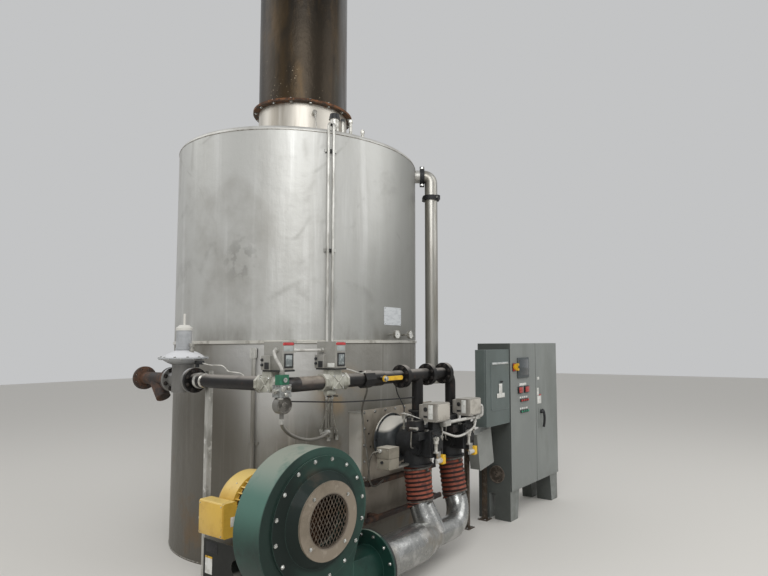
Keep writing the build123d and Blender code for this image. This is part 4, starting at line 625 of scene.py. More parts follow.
    "paleTube": paint("#CFCDC6", 0.36, coat("#9A978E", 0.7, grain(22, 0.48, 0.62)), metal=0.6),
    # zinc die-cast switch body, dark with handling, bright only where it is turned
    "switchMetal": paint(
        "#6B6862", 0.36,
        coat("#A9A69E", 0.8, edge(0.004)),
        coat("#3F3C38", 0.8, grain(22, 0.44, 0.58)),
        metal=0.6,
    ),
    # grey rubber-covered flexible tube, painted light on its -X side, painted shade on its +X side
    "greyHose": paint(
        "#5F5C55", 0.55,
        # painted light: paler, mottled, on faces turned to -X
        coat("#8A867D", 0.7, ("slope", "X", -0.2, -0.9), grain(16, 0.35, 0.6)),
        # painted shade: darker on faces turned to +X
        coat("#3C3A36", 0.7, ("slope", "X", 0.1, 0.8)),
    ),
    # older run of zinc conduit, greyed, painted shade on its underside
    "greyConduit": paint(
        "#96938C", 0.5,
        # painted shade: darker on faces turned down
        coat("#6E6B64", 0.8, ("slope", "Z", 0.1, -0.6)),
        coat("#B5B2AB", 0.7, ("slope", "Z", 0.3, 0.9), grain(18, 0.35, 0.55)),
    ),
    # liquid-tight conduit: moulded vinyl, off-white, greyed by hands and dust, painted shade on its underside
    "paleConduit": paint(
        "#C2C0BA", 0.42,
        coat("#94918A", 0.7, grain(16, 0.46, 0.62)),
        # painted shade: darker on faces turned down
        coat("#6F6C66", 0.6, ("slope", "Z", -0.2, -0.9)),
    ),
    # front lids of the small motors: pressed steel sprayed pale grey, painted highlights along their edges
    "motorLidGrey": paint(
        "#B7B2A8", 0.45,
        coat("#918B80", 0.7, grain(9, 0.46, 0.64)),
        # painted highlight along the edges
        coat("#D2CEC5", 0.7, edge(0.005)),
    ),
    # junction box in light grey wall-box enamel, painted light on its top faces, painted highlights along its
    # edges
    "boxEnamel": paint(
        "#8D8F8B", 0.42,
        coat("#7C7E79", 0.6, grain(3, 0.44, 0.62)),
        # painted light: paler on faces turned up
        coat("#A9AAA4", 0.7, ("slope", "Z", 0.3, 0.9)),
        # painted highlight along the edges
        coat("#B4B5B0", 0.6, edge(0.005)),
    ),
    # pale bar along the top edge of the side box's raised panel: a painted highlight for the light its bevel
    # catches
    "panelEdgeHighlight": paint("#C0C3C1", 0.4, coat("#8B908F", 0.7, grain(20, 0.46, 0.62, (1, 1, 3)))),
    # pressed brown-grey vent louvre, painted shade at the bottom of its slots
    "ventBrown": paint(
        "#5A5148", 0.55,
        # painted shade: dark at the bottom of the slots, next to the cabinet side
        coat("#2A2622", 0.9, ("along", "X", 1.2865, 1.2885)),
        coat("#776D62", 0.7, grain(30, 0.46, 0.62)),
    ),
}
finishes = {name: makeFinish(name, s) for name, s in finishSet.items()}

nodeFinish = {
    "rolledStainless": ["upper_shell"],
    "stainedStainless": ["lower_shell", "tank_floor", "burner_box"],
    "spunStainless": ["top_head", "inlet_nozzle"],
    "heatTintedSheet": ["stack_section"],
    "brightStub": ["stack_nozzle"],
    "groundBand": ["girth_ring"],
    "sootedPlate": ["burner_plate"],
    "dustyDrum": ["burner_casings"],
    "blackCasting": ["burner_bodies", "inlet_coupling"],
    "galvanizedSheet": ["wye_duct"],
    "blackPipe": ["gas_pipe_left", "hand_valve", "gas_manifold"],
    "brownPipe": ["corner_nipple"],
    "rustySteel": ["gas_strainer", "front_rail"],
    "paleCasting": ["shutoff_valves"],
    "actuatorGrey": ["valve_actuators"],
    "motorCoverGrey": ["control_motors"],
    "boxEnamel": ["junction_box"],
    "regulatorGrey": ["regulator_body", "regulator_case"],
    "siliconeHose": ["air_hoses"],
    "greenEnamel": ["blower_scroll", "blower_outlet", "blower_cover"],
    "tanPrimer": ["inlet_ring"],
    "guardSteel": ["inlet_guard", "junction_stand"],
    "rustyWheel": ["fan_wheel"],
    "motorYellow": ["motor_frame", "motor_cowl", "terminal_box"],
    "pedestalGrey": ["pedestal"],
    "zincPlate": ["pipe_post", "flex_conduits"],
    "wallConduitZinc": ["wall_conduits"],
    "cabinetPowder": ["cabinet_body", "cabinet_door_left", "cabinet_door_right", "cabinet_legs"],
    "boxPowder": ["disconnect_box", "disconnect_cover"],
    "blackNylon": ["door_handle", "door_controls"],
    "yellowVinyl": ["valve_lever", "disconnect_handle"],
    "puttyPaint": ["igniter_box"],
    "palePlate": ["data_plate"],
    "brightFitting": ["gauges"],
    "ventFittings": ["head_fittings"],
    "pilotValve": ["gas_trim"],
    "scannerParts": ["flame_scanners"],
    "riserStainless": ["inlet_riser", "outlet_nozzle"],
}
for finish, names in nodeFinish.items():
    for name in names:
        cadNodes[name].data.materials[0] = finishes[finish]
covered = sum(len(names) for names in nodeFinish.values())
print("finishes laid on", covered, "of", len(cadNodes), "nodes")


def placePiece(name, mesh, finish, body="plant"):
    # a finished piece: at the origin, unturned, riding on its CAD body
    item = bpy.data.objects.new(name, mesh)
    scene.collection.objects.link(item)
    mesh.materials.clear()
    mesh.materials.append(finishes[finish])
    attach(item, body)
    return item


def closedMesh(name, bm, smooth=35):
    # doubles merged, faces outwards, round parts shaded smooth up to an angle
    bmesh.ops.remove_doubles(bm, verts=bm.verts, dist=0.00001)
    bmesh.ops.recalc_face_normals(bm, faces=bm.faces)
    for face in bm.faces:
        face.smooth = True
    for edge in bm.edges:
        edge.smooth = len(edge.link_faces) == 2 and edge.calc_face_angle(0) < math.radians(smooth)
    mesh = bpy.data.meshes.new(name)
    bm.to_mesh(mesh)
    bm.free()
    return mesh


def roundBox(bm, centre, size, bevel, turn=None, sides=2):
    # a box with rounded edges; turn is a rotation matrix about its centre
    made = bmesh.ops.create_cube(bm, size=1.0, matrix=Matrix.Diagonal((*size, 1)))["verts"]
    edges = list({e for v in made for e in v.link_edges})
    grown = bmesh.ops.bevel(bm, geom=edges, offset=bevel, segments=sides, affect="EDGES", profile=0.5)
    verts = list({v for f in grown["faces"] for v in f.verts} | {v for v in made if v.is_valid})
    reach = set(verts)
    for v in verts:
        for e in v.link_edges:
            reach.update(e.verts)
    matrix = Matrix.Translation(centre) @ (turn.to_4x4() if turn else Matrix.Identity(4))
    bmesh.ops.transform(bm, matrix=matrix, verts=list(reach))


def lathe(bm, centre, axis, profile, steps=24):
    # profile points are (radius, distance along the axis); ends on the axis close themselves
    turn = Vector(axis).to_track_quat("Z", "Y").to_matrix().to_4x4()
    matrix = Matrix.Translation(centre) @ turn
    rings = []
    for radius, along in profile:
        if radius < 1e-6:
            rings.append([bm.verts.new(matrix @ Vector((0, 0, along)))])
            continue
        angles = (2 * math.pi * i / steps for i in range(steps))
        spots = (Vector((radius * math.cos(a), radius * math.sin(a), along)) for a in angles)
        rings.append([bm.verts.new(matrix @ spot) for spot in spots])
    for near, far in zip(rings, rings[1:]):
        for i in range(steps):
            j = (i + 1) % steps
            corners = [near[i % len(near)], near[j % len(near)], far[j % len(far)], far[i % len(far)]]
            corners = list(dict.fromkeys(corners))
            if len(corners) > 2:
                bm.faces.new(corners)


def disc(bm, centre, axis, radius, depth, bevel=0.001, steps=24):
    # a thick disc with broken edges, from its foot at the centre along the axis
    low = [(0, 0), (radius - bevel, 0), (radius, bevel)]
    lathe(bm, centre, axis, low + [(radius, depth - bevel), (radius - bevel, depth), (0, depth)], steps)


def plainMesh(item, name):
    # the plain mesh of a curve, a text or a modifier; the object it came from goes
    scene.collection.objects.link(item)
    bpy.context.view_layer.update()
    mesh = bpy.data.meshes.new_from_object(item.evaluated_get(bpy.context.evaluated_depsgraph_get()))
    bpy.data.objects.remove(item)
    mesh.name = name
    return mesh


def tubeMesh(name, runs, radius, sides, steps):
    # tubes along given points; a NURBS curve rounds their corners
    curve = bpy.data.curves.new(name, "CURVE")
    curve.dimensions = "3D"
    curve.bevel_depth = radius
    curve.bevel_resolution = max(1, sides // 4)
    curve.use_fill_caps = True
    for points in runs:
        spline = curve.splines.new("NURBS")
        spline.points.add(len(points) - 1)
        for knot, point in zip(spline.points, points):
            knot.co = (*point, 1)
        spline.order_u = min(3, len(points))
        spline.use_endpoint_u = True
        spline.resolution_u = steps
    mesh = plainMesh(bpy.data.objects.new(name, curve), name)
    bpy.data.curves.remove(curve)
    return mesh


def ringSpots(centre, axis, radius, count, start=0.0, size=1.0):
    # bolt places on a circle; they face along the axis
    axis = Vector(axis).normalized()
    side = Vector((0, 0, 1)) if abs(axis.z) < 0.9 else Vector((1, 0, 0))
    side = (side - axis * side.dot(axis)).normalized()
    other = axis.cross(side)
    spots = []
    for i in range(count):
        angle = math.radians(start) + 2 * math.pi * i / count
        out = side * math.cos(angle) + other * math.sin(angle)
        spots.append((Vector(centre) + out * radius, axis, size))
    return spots


def rowSpots(start, end, count, axis, size=1.0):
    # bolt places in a straight row, both ends included
    start, end = Vector(start), Vector(end)
    return [(start.lerp(end, i / max(1, count - 1)), Vector(axis), size) for i in range(count)]


def sizedInputs(tree, labels):
    # named inputs of a node tree: a float each, then its finish and its seed
    face = tree.interface
    face.new_socket("Path", in_out="INPUT", socket_type="NodeSocketGeometry")
    for label in labels:
        face.new_socket(label, in_out="INPUT", socket_type="NodeSocketFloat")
    face.new_socket("Finish", in_out="INPUT", socket_type="NodeSocketMaterial")
    face.new_socket("Seed", in_out="INPUT", socket_type="NodeSocketInt")
    face.new_socket("Result", in_out="OUTPUT", socket_type="NodeSocketGeometry")
    return addNode(tree, "NodeGroupInput")


def closeTree(tree, given, shape):
    # every tree ends alike: made real, given its finish
    real = addNode(tree, "GeometryNodeRealizeInstances", {}, {0: shape}).outputs[0]
    links = {"Geometry": real, "Material": given.outputs["Finish"]}
    dressed = addNode(tree, "GeometryNodeSetMaterial", {}, links).outputs[0]
    addNode(tree, "NodeGroupOutput", {}, {0: dressed})


def makeBoltTree():
    # chamfered hexagon head on a washer, turned by chance, one at each point of the mesh
    tree = bpy.data.node_groups.new("hexBolts", "GeometryNodeTree")
    given = sizedInputs(tree, boltParts)
    head, tall, washer, thick = (given.outputs[part] for part in boltParts)
    # the head's straight part, its chamfered part, and the chamfer's narrow end
    low, high, small = (
        addNode(tree, "ShaderNodeMath", {"operation": "MULTIPLY", 1: share}, {0: whole}).outputs[0]
        for share, whole in ((0.72, tall), (0.28, tall), (0.78, head))
    )
    seat = addNode(tree, "ShaderNodeMath", {"operation": "ADD"}, {0: thick, 1: low}).outputs[0]
    parts = []
    stages = ((12, washer, washer, thick, None), (6, head, head, low, thick), (6, head, small, high, seat))
    for sides, foot, top, depth, lift in stages:
        links = {"Radius Top": top, "Radius Bottom": foot, "Depth": depth}
        shape = addNode(tree, "GeometryNodeMeshCone", {"Vertices": sides}, links).outputs["Mesh"]
        if lift:
            up = addNode(tree, "ShaderNodeCombineXYZ", {}, {"Z": lift}).outputs[0]
            links = {"Geometry": shape, "Translation": up}
            shape = addNode(tree, "GeometryNodeTransform", {}, links).outputs[0]
        parts.append(shape)
    joined = addNode(tree, "GeometryNodeJoinGeometry")
    for shape in parts:
        tree.links.new(shape, joined.inputs[0])
    kinds = (("FLOAT_VECTOR", "facing"), ("FLOAT", "size"))
    facing, size = (
        addNode(tree, "GeometryNodeInputNamedAttribute", {"data_type": kind, "Name": label}).outputs[0]
        for kind, label in kinds
    )
    aim = addNode(tree, "FunctionNodeAlignRotationToVector", {"axis": "Z"}, {"Vector": facing}).outputs[0]
    links = {"Seed": given.outputs["Seed"]}
    sixth = 1.047
    chance = addNode(tree, "FunctionNodeRandomValue", {"data_type": "FLOAT", 2: 0.0, 3: sixth}, links)
    spin = addNode(tree, "ShaderNodeCombineXYZ", {}, {"Z": chance.outputs[1]}).outputs[0]
    spin = addNode(tree, "FunctionNodeEulerToRotation", {}, {0: spin}).outputs[0]
    links = {0: aim, 1: spin}
    turn = addNode(tree, "FunctionNodeRotateRotation", {"rotation_space": "LOCAL"}, links).outputs[0]
    links = {"Points": given.outputs["Path"], "Instance": joined.outputs[0], "Rotation": turn, "Scale": size}
    closeTree(tree, given, addNode(tree, "GeometryNodeInstanceOnPoints", {}, links).outputs["Instances"])
    return tree


def makeBeadTree():
    # a rippled bead along the mesh's edges: its radius swells and shrinks a little each step
    tree = bpy.data.node_groups.new("weldBeads", "GeometryNodeTree")
    given = sizedInputs(tree, ("Bead radius", "Ripple", "Step"))
    line = addNode(tree, "GeometryNodeMeshToCurve", {}, {"Mesh": given.outputs["Path"]}).outputs[0]
    links = {"Curve": line, "Length": given.outputs["Step"]}
    line = addNode(tree, "GeometryNodeResampleCurve", {"mode": "LENGTH"}, links).outputs[0]
    links = {1: given.outputs["Ripple"]}
    low = addNode(tree, "ShaderNodeMath", {"operation": "SUBTRACT", 0: 1.0}, links).outputs[0]
    links = {2: low, "Seed": given.outputs["Seed"]}
    swell = addNode(tree, "FunctionNodeRandomValue", {"data_type": "FLOAT", 3: 1.0}, links).outputs[1]
    line = addNode(tree, "GeometryNodeSetCurveRadius", {}, {"Curve": line, "Radius": swell}).outputs[0]
    links = {"Radius": given.outputs["Bead radius"]}
    profile = addNode(tree, "GeometryNodeCurvePrimitiveCircle", {"Resolution": 6}, links).outputs[0]
    links = {"Curve": line, "Profile Curve": profile}
    bead = addNode(tree, "GeometryNodeCurveToMesh", {"Fill Caps": True}, links).outputs[0]
    bead = addNode(tree, "GeometryNodeSetShadeSmooth", {}, {"Geometry": bead}).outputs[0]
    closeTree(tree, given, bead)
    return tree


def runTree(name, tree, mesh, sizes, finish, body, seed):
    # the tree's inputs are set by their identifiers before it is first evaluated, then the mesh is plain
    item = bpy.data.objects.new(name, mesh)
    modifier = item.modifiers.new("make", "NODES")
    modifier.node_group = tree
    values = {**sizes, "Finish": finishes[finish], "Seed": seed}
    for socket in tree.interface.items_tree:
        if socket.in_out == "INPUT" and socket.name in values:
            modifier[socket.identifier] = values[socket.name]
    return placePiece(name, plainMesh(item, name), finish, body)


def boltSet(name, spots, size, finish="boltZinc", body="plant"):
    # each spot is its place, the way the head faces, and a scale
    mesh = bpy.data.meshes.new(name)
    mesh.from_pydata([spot[0] for spot in spots], [], [])
    mesh.attributes.new("facing", "FLOAT_VECTOR", "POINT")
    mesh.attributes.new("size", "FLOAT", "POINT")
    for i, spot in enumerate(spots):
        mesh.attributes["facing"].data[i].vector = spot[1]
        mesh.attributes["size"].data[i].value = spot[2]
    sizes = dict(zip(boltParts, boltSizes[size]))
    return runTree(name, boltTree, mesh, sizes, finish, body, 1)


def circlePath(centre, axis, radius, steps=96):
    return [spot[0] for spot in ringSpots(centre, axis, radius, steps)]


def beadSet(name, paths, sizes):
    # each path is (points, closed)
    verts, edges = [], []
    for points, closed in paths:
        first = len(verts)
        verts += points
        edges += [(first + i, first + i + 1) for i in range(len(points) - 1)]
        if closed:
            edges.append((len(verts) - 1, first))
    mesh = bpy.data.meshes.new(name)
    mesh.from_pydata(verts, edges, [])
    return runTree(name, beadTree, mesh, sizes, "weldBead", "plant", 3)


# Bolt sizes by thread: head radius and height, washer radius and height
boltParts = ("Head radius", "Head height", "Washer radius", "Washer height")
boltSizes = {
    "m16": (0.0135, 0.01, 0.017, 0.003),
    "m12": (0.0105, 0.0075, 0.0135, 0.0025),
    "m10": (0.0088, 0.0062, 0.0112, 0.002),
    "m6": (0.0055, 0.004, 0.0068, 0.0012),
}
boltTree = makeBoltTree()
beadTree = makeBeadTree()
frontways, rearways = (0, -1, 0), (0, 1, 0)
rightways, leftways = (1, 0, 0), (-1, 0, 0)
upways, downways = (0, 0, 1), (0, 0, -1)

# Camera where the photograph was taken from, solved from its vanishing points
cameraSet = {
    "place": (-4.262, -4.827, 1.867),
    "yaw": 34.36,
    "pitch": 4.28,
    "roll": -0.4,
    "focalPixels": 585.4,
    "centre": (449.0, 300.2),
}


def makeCamera(s):
    yaw, pitch, roll = (math.radians(s[k]) for k in ("yaw", "pitch", "roll"))
    forward = Vector((math.cos(yaw) * math.cos(pitch), math.sin(yaw) * math.cos(pitch), math.sin(pitch)))
    side = Vector((math.sin(yaw), -math.cos(yaw), 0))
    upward = side.cross(forward)
    right = side * math.cos(roll) + upward * math.sin(roll)
    top = upward * math.cos(roll) - side * math.sin(roll)
    data = bpy.data.cameras.new("aisleCamera")
    data.sensor_width = 36
    data.lens = s["focalPixels"] / 768 * 36
    data.shift_x = (384 - s["centre"][0]) / 768
    data.shift_y = (s["centre"][1] - 288) / 768
    camera = bpy.data.objects.new("aisleCamera", data)
    turn = Matrix((right, top, -forward)).transposed()
    camera.matrix_world = Matrix.Translation(s["place"]) @ turn.to_4x4()
    scene.collection.objects.link(camera)
    scene.camera = camera


# Plain studio: pale floor, pale surround, three large soft lamps
studioSet = {
    "floorColour": "#D8D5CF",
    "surroundColour": "#E9EAEB",
    "surroundLight": 0.67,
    "floorSize": 60.0,
    "lamps": [
        {"place": (-6.0, -6.0, 7.0), "aim": (0, -0.5, 1.5), "size": 6.0, "power": 365},
        {"place": (3.5, -7.0, 6.5), "aim": (0.8, -1.0, 1.2), "size": 6.0, "power": 150},
        {"place": (-5.0, 5.0, 8.0), "aim": (0, 0, 2.5), "size": 6.0, "power": 130},
    ],
}


def makeStudio(s):
    data = bpy.data.meshes.new("studioFloor")
    half = s["floorSize"] / 2
    corners = [(-half, -half, 0), (half, -half, 0), (half, half, 0), (-half, half, 0)]
    data.from_pydata(corners, [], [(0, 1, 2, 3)])
    floor = bpy.data.objects.new("studioFloor", data)
    scene.collection.objects.link(floor)
    material = bpy.data.materials.new("paleFloor")
    material.use_nodes = True
    shader = material.node_tree.nodes["Principled BSDF"]
    shader.inputs["Base Color"].default_value = hexColour(s["floorColour"])
    shader.inputs["Roughness"].default_value = 0.75
    data.materials.append(material)
    for number, lamp in enumerate(s["lamps"]):
        light = bpy.data.lights.new("softLamp%d" % number, "AREA")
        light.shape = "DISK"
        light.size = lamp["size"]
        light.energy = lamp["power"]
        item = bpy.data.objects.new(light.name, light)
        place = Vector(lamp["place"])
        aim = (Vector(lamp["aim"]) - place).to_track_quat("-Z", "Y")
        item.matrix_world = Matrix.Translation(place) @ aim.to_matrix().to_4x4()
        scene.collection.objects.link(item)
    world = bpy.data.worlds.new("paleSurround")
    world.use_nodes = True
    scene.world = world
    background = world.node_tree.nodes["Background"]
    background.inputs["Color"].default_value = hexColour(s["surroundColour"])
    background.inputs["Strength"].default_value = s["surroundLight"]


makeCamera(cameraSet)
makeStudio(studioSet)
print("camera and studio done")

# Bolts of the joints; circles and faces are the CAD flanges'
stackSet = {"joint": 4.34, "circle": 0.493, "face": 0.012, "count": 16, "start": 11}
s = stackSet
spots = []
for side, step in ((upways, s["face"]), (downways, -s["face"])):
    spots += ringSpots((0, 0, s["joint"] + step), side, s["circle"], s["count"], s["start"])
boltSet("stackJointBolts", spots, "m16")

# Blower bolts; each ring is its face, then circle, count, first angle, size and colour slot
blowerSet = {
    "axis": (-1.555, 0.755),
    "rings": {
        "coverBolts": (-1.982, 0.375, 16, 10, 1.0, "fan_green"),
        "inletRingBolts": (-2.05, 0.208, 4, 40, 0.9, "ring_tan"),
    },
    "ductFaces": ((-0.985, leftways), (-0.953, rightways)),
    "ductAxis": (-1.85, 0.261),
    "ductRing": (0.224, 12, 15),
}
blowerX, blowerZ = blowerSet["axis"]
for name, (face, *ring, slot) in blowerSet["rings"].items():
    boltSet(name, ringSpots((blowerX, face, blowerZ), frontways, *ring), "m12")
spots = []
for face, side in blowerSet["ductFaces"]:
    spots += ringSpots((face, *blowerSet["ductAxis"]), side, *blowerSet["ductRing"])
boltSet("ductFlangeBolts", spots, "m12")

gasSet = {
    "axisZ": 1.6,
    "frontY": -1.705,
    "leftX": -1.6,
    "leftJoints": (-0.6, -0.3),
    "frontJoints": (-0.405, -0.045, 0.21),
    "face": 0.024,
    "ring": (0.076, 8, 22.5),
}
s = gasSet
spots = []
for y in s["leftJoints"]:
    for step, side in ((-s["face"], frontways), (s["face"], rearways)):
        spots += ringSpots((s["leftX"], y + step, s["axisZ"]), side, *s["ring"])
for x in s["frontJoints"]:
    for step, side in ((-s["face"], leftways), (s["face"], rightways)):
        spots += ringSpots((x + step, s["frontY"], s["axisZ"]), side, *s["ring"])
boltSet("gasFlangeBolts", spots, "m16", "boltBlack")
print("flange bolts done")


def box(centre, size, bevel, turn=None):
    return (roundBox, centre, size, bevel, turn)


def turned(centre, axis, *rings):
    # a turned solid closed on its axis: rings are (radius, from, to), or (radius, at) where it narrows
    profile = [(radius, place) for radius, *places in rings for place in places]
    return (lathe, centre, axis, [(0, profile[0][1])] + profile + [(0, profile[-1][1])])


def makePiece(name, shapes, finish, body="plant", steps=20):
    # each shape is the function that makes it, then its values; steps are for the round ones
    bm = bmesh.new()
    for make, *values in shapes:
        if make is not roundBox:
            values.append(steps)
        make(bm, *values)
    return placePiece(name, closedMesh(name, bm), finish, body)


def boxPieces(rows, body="plant"):
    # rows are name, finish and slot, then boxes
    for name, finish, slot, *boxes in rows:
        makePiece(name, [box(*values) for values in boxes], finish, body)


def tubePiece(name, runs, radius, finish, body="plant", sides=8, steps=6):
    mesh = tubeMesh(name, runs, radius, sides, steps)
    for face in mesh.polygons:
        face.use_smooth = True
    return placePiece(name, mesh, finish, body)


# Actuators over the two shutoff valves: red strip, bare label place, framed window, side box with knobs
actuatorSet = {
    "fronts": [(-1.6, -1.69), (-1.2025, -1.786)],
    "strip": ((0, -0.0008, 1.8755), (0.094, 0.0018, 0.019), 0.0005),
    "label": ((0, -0.0006, 1.843), (0.08, 0.0014, 0.036), 0.0004),
    "window": ((0.002, -0.002, 1.762), (0.074, 0.005, 0.096), 0.0015),
    "pane": ((0.002, -0.0045, 1.762), (0.054, 0.002, 0.074), 0.0006),
    "slot": ((-0.077, 0.1275, 1.728), (0.004, 0.044, 0.046), 0.0008),
    "knobs": [(-0.076, 0.1715, 1.768), (-0.076, 0.1715, 1.734)],
    "knob": ((0.01, 0, 0.009), (0.008, 0.012)),
    "screws": [(side, 0, z) for side in (-0.044, 0.044) for z in (1.708, 1.884)],
}
s = actuatorSet
fronts = [Vector((x, y, 0)) for x, y in s["fronts"]]


def onFronts(*parts):
    # the same box on both actuators
    return [box(front + Vector(s[part][0]), *s[part][1:]) for front in fronts for part in parts]


makePiece("actuatorStrips", onFronts("strip"), "redStrip")
makePiece("actuatorLabels", onFronts("label"), "greyVinyl")
tag = box((-1.2552, -1.741, 1.7215), (0.0014, 0.07, 0.03), 0.0004)
makePiece("actuatorTag", [tag], "bareVinyl")
makePiece("actuatorFrames", onFronts("window", "slot"), "darkRubber")
makePiece("actuatorPanes", onFronts("pane"), "windowPane")
knobs = [turned(front + Vector(spot), leftways, *s["knob"]) for front in fronts for spot in s["knobs"]]
makePiece("actuatorKnobs", knobs, "blackNylon")
spots = [(front + Vector(spot), frontways, 0.6) for front in fronts for spot in s["screws"]]
boltSet("actuatorScrews", spots, "m6")

# Valve covers with crossed ribs, and the small cocks that hang under the second valve
valveSet = {
    "covers": [((-1.2025, -1.757, 1.6), "Y"), ((-1.652, -1.5235, 1.6), "X")],
    "cover": (0.104, 0.02, 0.104),
    "rib": (0.118, 0.008, 0.011),
    "bolt": 0.043,
    "block": ((-1.232, -1.705, 1.5245), (0.086, 0.042, 0.034), 0.005),
    "cocks": (-1.262, -1.2),
    "cock": ((0.012, 0, 0.014), (0.008, 0.016, 0.034)),
    "grip": ((0.014, 0.05, 0.009), 0.003),
}
s = valveSet
covers, spots = [], []
for spot, axis in s["covers"]:
    front = axis == "Y"
    side = frontways if front else leftways
    face, across = Vector(side), Vector((1, 0, 0) if front else (0, 1, 0))
    flat, bar = ((w, d, h) if front else (d, w, h) for w, d, h in (s["cover"], s["rib"]))
    covers.append(box(spot, flat, 0.005))
    for angle in (45, -45):
        turn = Matrix.Rotation(math.radians(angle), 3, axis)
        covers.append(box(Vector(spot) + face * 0.012, bar, 0.0025, turn))
    for a in (-s["bolt"], s["bolt"]):
        for z in (s["bolt"], -s["bolt"]):
            spots.append((Vector(spot) + face * 0.01 + across * a + Vector((0, 0, z)), side, 0.75))
makePiece("valveCovers", covers + [box(*s["block"])], "paleCasting")
boltSet("valveCoverBolts", spots, "m10")
cocks = [turned((x, -1.705, 1.512), downways, *s["cock"]) for x in s["cocks"]]
makePiece("valveCocks", cocks, "brightFitting")
grips = [box((x, -1.73, 1.498), *s["grip"]) for x in s["cocks"]]
makePiece("valveCockGrips", grips, "darkRubber")

# Small tubes, hand-bent, each run set by the photograph: radius, finish, then the runs
tubeSet = {
    "impulseTubes": (
        0.006, "paleTube",
        [(-1.232, -1.705, 1.484), (-1.228, -1.7, 1.466), (-1.1, -1.55, 1.385), (-0.92, -1.32, 1.27),
         (-0.765, -1.132, 1.172), (-0.738, -1.098, 1.15)],
        [(-1.212, -1.705, 1.484), (-1.208, -1.7, 1.464), (-1.05, -1.54, 1.385), (-0.85, -1.36, 1.255),
         (-0.595, -1.142, 1.103), (-0.56, -1.104, 1.08)],
        [(-1.222, -1.705, 1.484), (-1.212, -1.69, 1.464), (-1.0, -1.46, 1.36), (-0.76, -1.21, 1.235),
         (-0.66, -1.108, 1.18), (-0.655, -1.105, 1.15)],
    ),
    "senseTubes": (
        0.005, "paleTube",
        [(-1.6, -0.7, 1.735), (-1.6, -0.8, 1.716), (-1.6, -0.93, 1.722), (-1.6, -0.985, 1.712),
         (-1.6, -1.03, 1.672), (-1.6, -1.12, 1.672), (-1.6, -1.205, 1.662), (-1.6, -1.215, 1.645)],
        [(-1.15, -1.73, 1.694), (-1.09, -1.73, 1.69), (-1.0, -1.73, 1.668), (-0.92, -1.735, 1.64),
         (-0.88, -1.73, 1.66)],
        [(-0.415, -1.7, 1.293), (-0.36, -1.72, 1.287), (-0.3, -1.79, 1.247), (-0.232, -1.862, 1.217)],
    ),
    "darkTubes": (
        0.005, "darkRubber",
        [(-1.645, -1.735, 1.498), (-1.6, -1.705, 1.49), (-1.4, -1.705, 1.472), (-1.074, -1.705, 1.441),
         (-0.65, -1.705, 1.424), (-0.36, -1.705, 1.414), (-0.235, -1.705, 1.411)],
        [(-0.405, -1.64, 1.515), (-0.38, -1.63, 1.46), (-0.345, -1.64, 1.4), (-0.345, -1.68, 1.34),
         (-0.375, -1.705, 1.315), (-0.375, -1.705, 1.296)],
    ),
    "greyDrop": (
        0.0085, "greyHose",
        [(-0.835, -1.695, 1.56), (-0.808, -1.69, 1.519), (-0.72, -1.57, 1.42), (-0.63, -1.46, 1.335),
         (-0.606, -1.45, 1.25), (-0.59, -1.45, 1.14), (-0.557, -1.45, 0.984), (-0.532, -1.45, 0.86),
         (-0.495, -1.42, 0.77), (-0.43, -1.345, 0.7)],
    ),
}
for name, (radius, finish, *runs) in tubeSet.items():
    tubePiece(name, runs, radius, finish, steps=5)
print("valves and small tubes done")

# Regulator: rim bolts, vent cap, sense-line block; pipe strap and threaded band on the left run
regulatorSet = {
    "axis": (-1.6, -0.45),
    "rims": ((1.777, upways), (1.767, downways)),
    "ring": (0.173, 12, 8),
    "vent": ((0.017, 0, 0.028), (0.011, 0.03, 0.048), (0.019, 0.05, 0.07), (0.013, 0.078)),
    "band": [(0.0575, 0), (0.0615, 0.001), (0.0615, 0.014), (0.0575, 0.015), (0.0575, 0)],
    "strap": [(0.0566, 0), (0.06, 0), (0.06, 0.03), (0.0566, 0.03), (0.0566, 0)],
    "thread": (5, 0.0036),
}
s = regulatorSet
spots = []
for z, side in s["rims"]:
    spots += ringSpots((*s["axis"], z), side, *s["ring"])
boltSet("regulatorRimBolts", spots, "m10")
shapes = [turned((-1.585, -0.535, 1.812), upways, *s["vent"])]
makePiece("regulatorVent", shapes, "brightFitting")
shapes = [(lathe, (*s["axis"], 1.836), upways, s["band"])]
makePiece("regulatorBand", shapes, "regulatorGrey", steps=36)
shapes = [box((-1.6, -0.668, 1.738), (0.032, 0.086, 0.03), 0.004)]
shapes.append(turned((-1.6, -0.64, 1.7), upways, (0.015, 0, 0.05), (0.01, 0.055)))
makePiece("senseBlock", shapes, "blackCasting")
threads = [(0.0505, 0), (0.055, 0.001)]
for i in range(s["thread"][0]):
    threads += [(0.0535, 0.004 + i * s["thread"][1]), (0.055, 0.0058 + i * s["thread"][1])]
threads += [(0.0505, 0.023), (0.0505, 0)]
shapes = [(lathe, (-1.6, -0.735, 1.6), frontways, threads)]
makePiece("threadBand", shapes, "brightFitting", steps=36)
shapes = [(lathe, (-1.6, -0.669, 1.6), frontways, s["strap"])]
shapes.append(box((-1.538, -0.684, 1.6), (0.022, 0.03, 0.052), 0.002))
makePiece("pipeStrap", shapes, "zincPlate", steps=36)

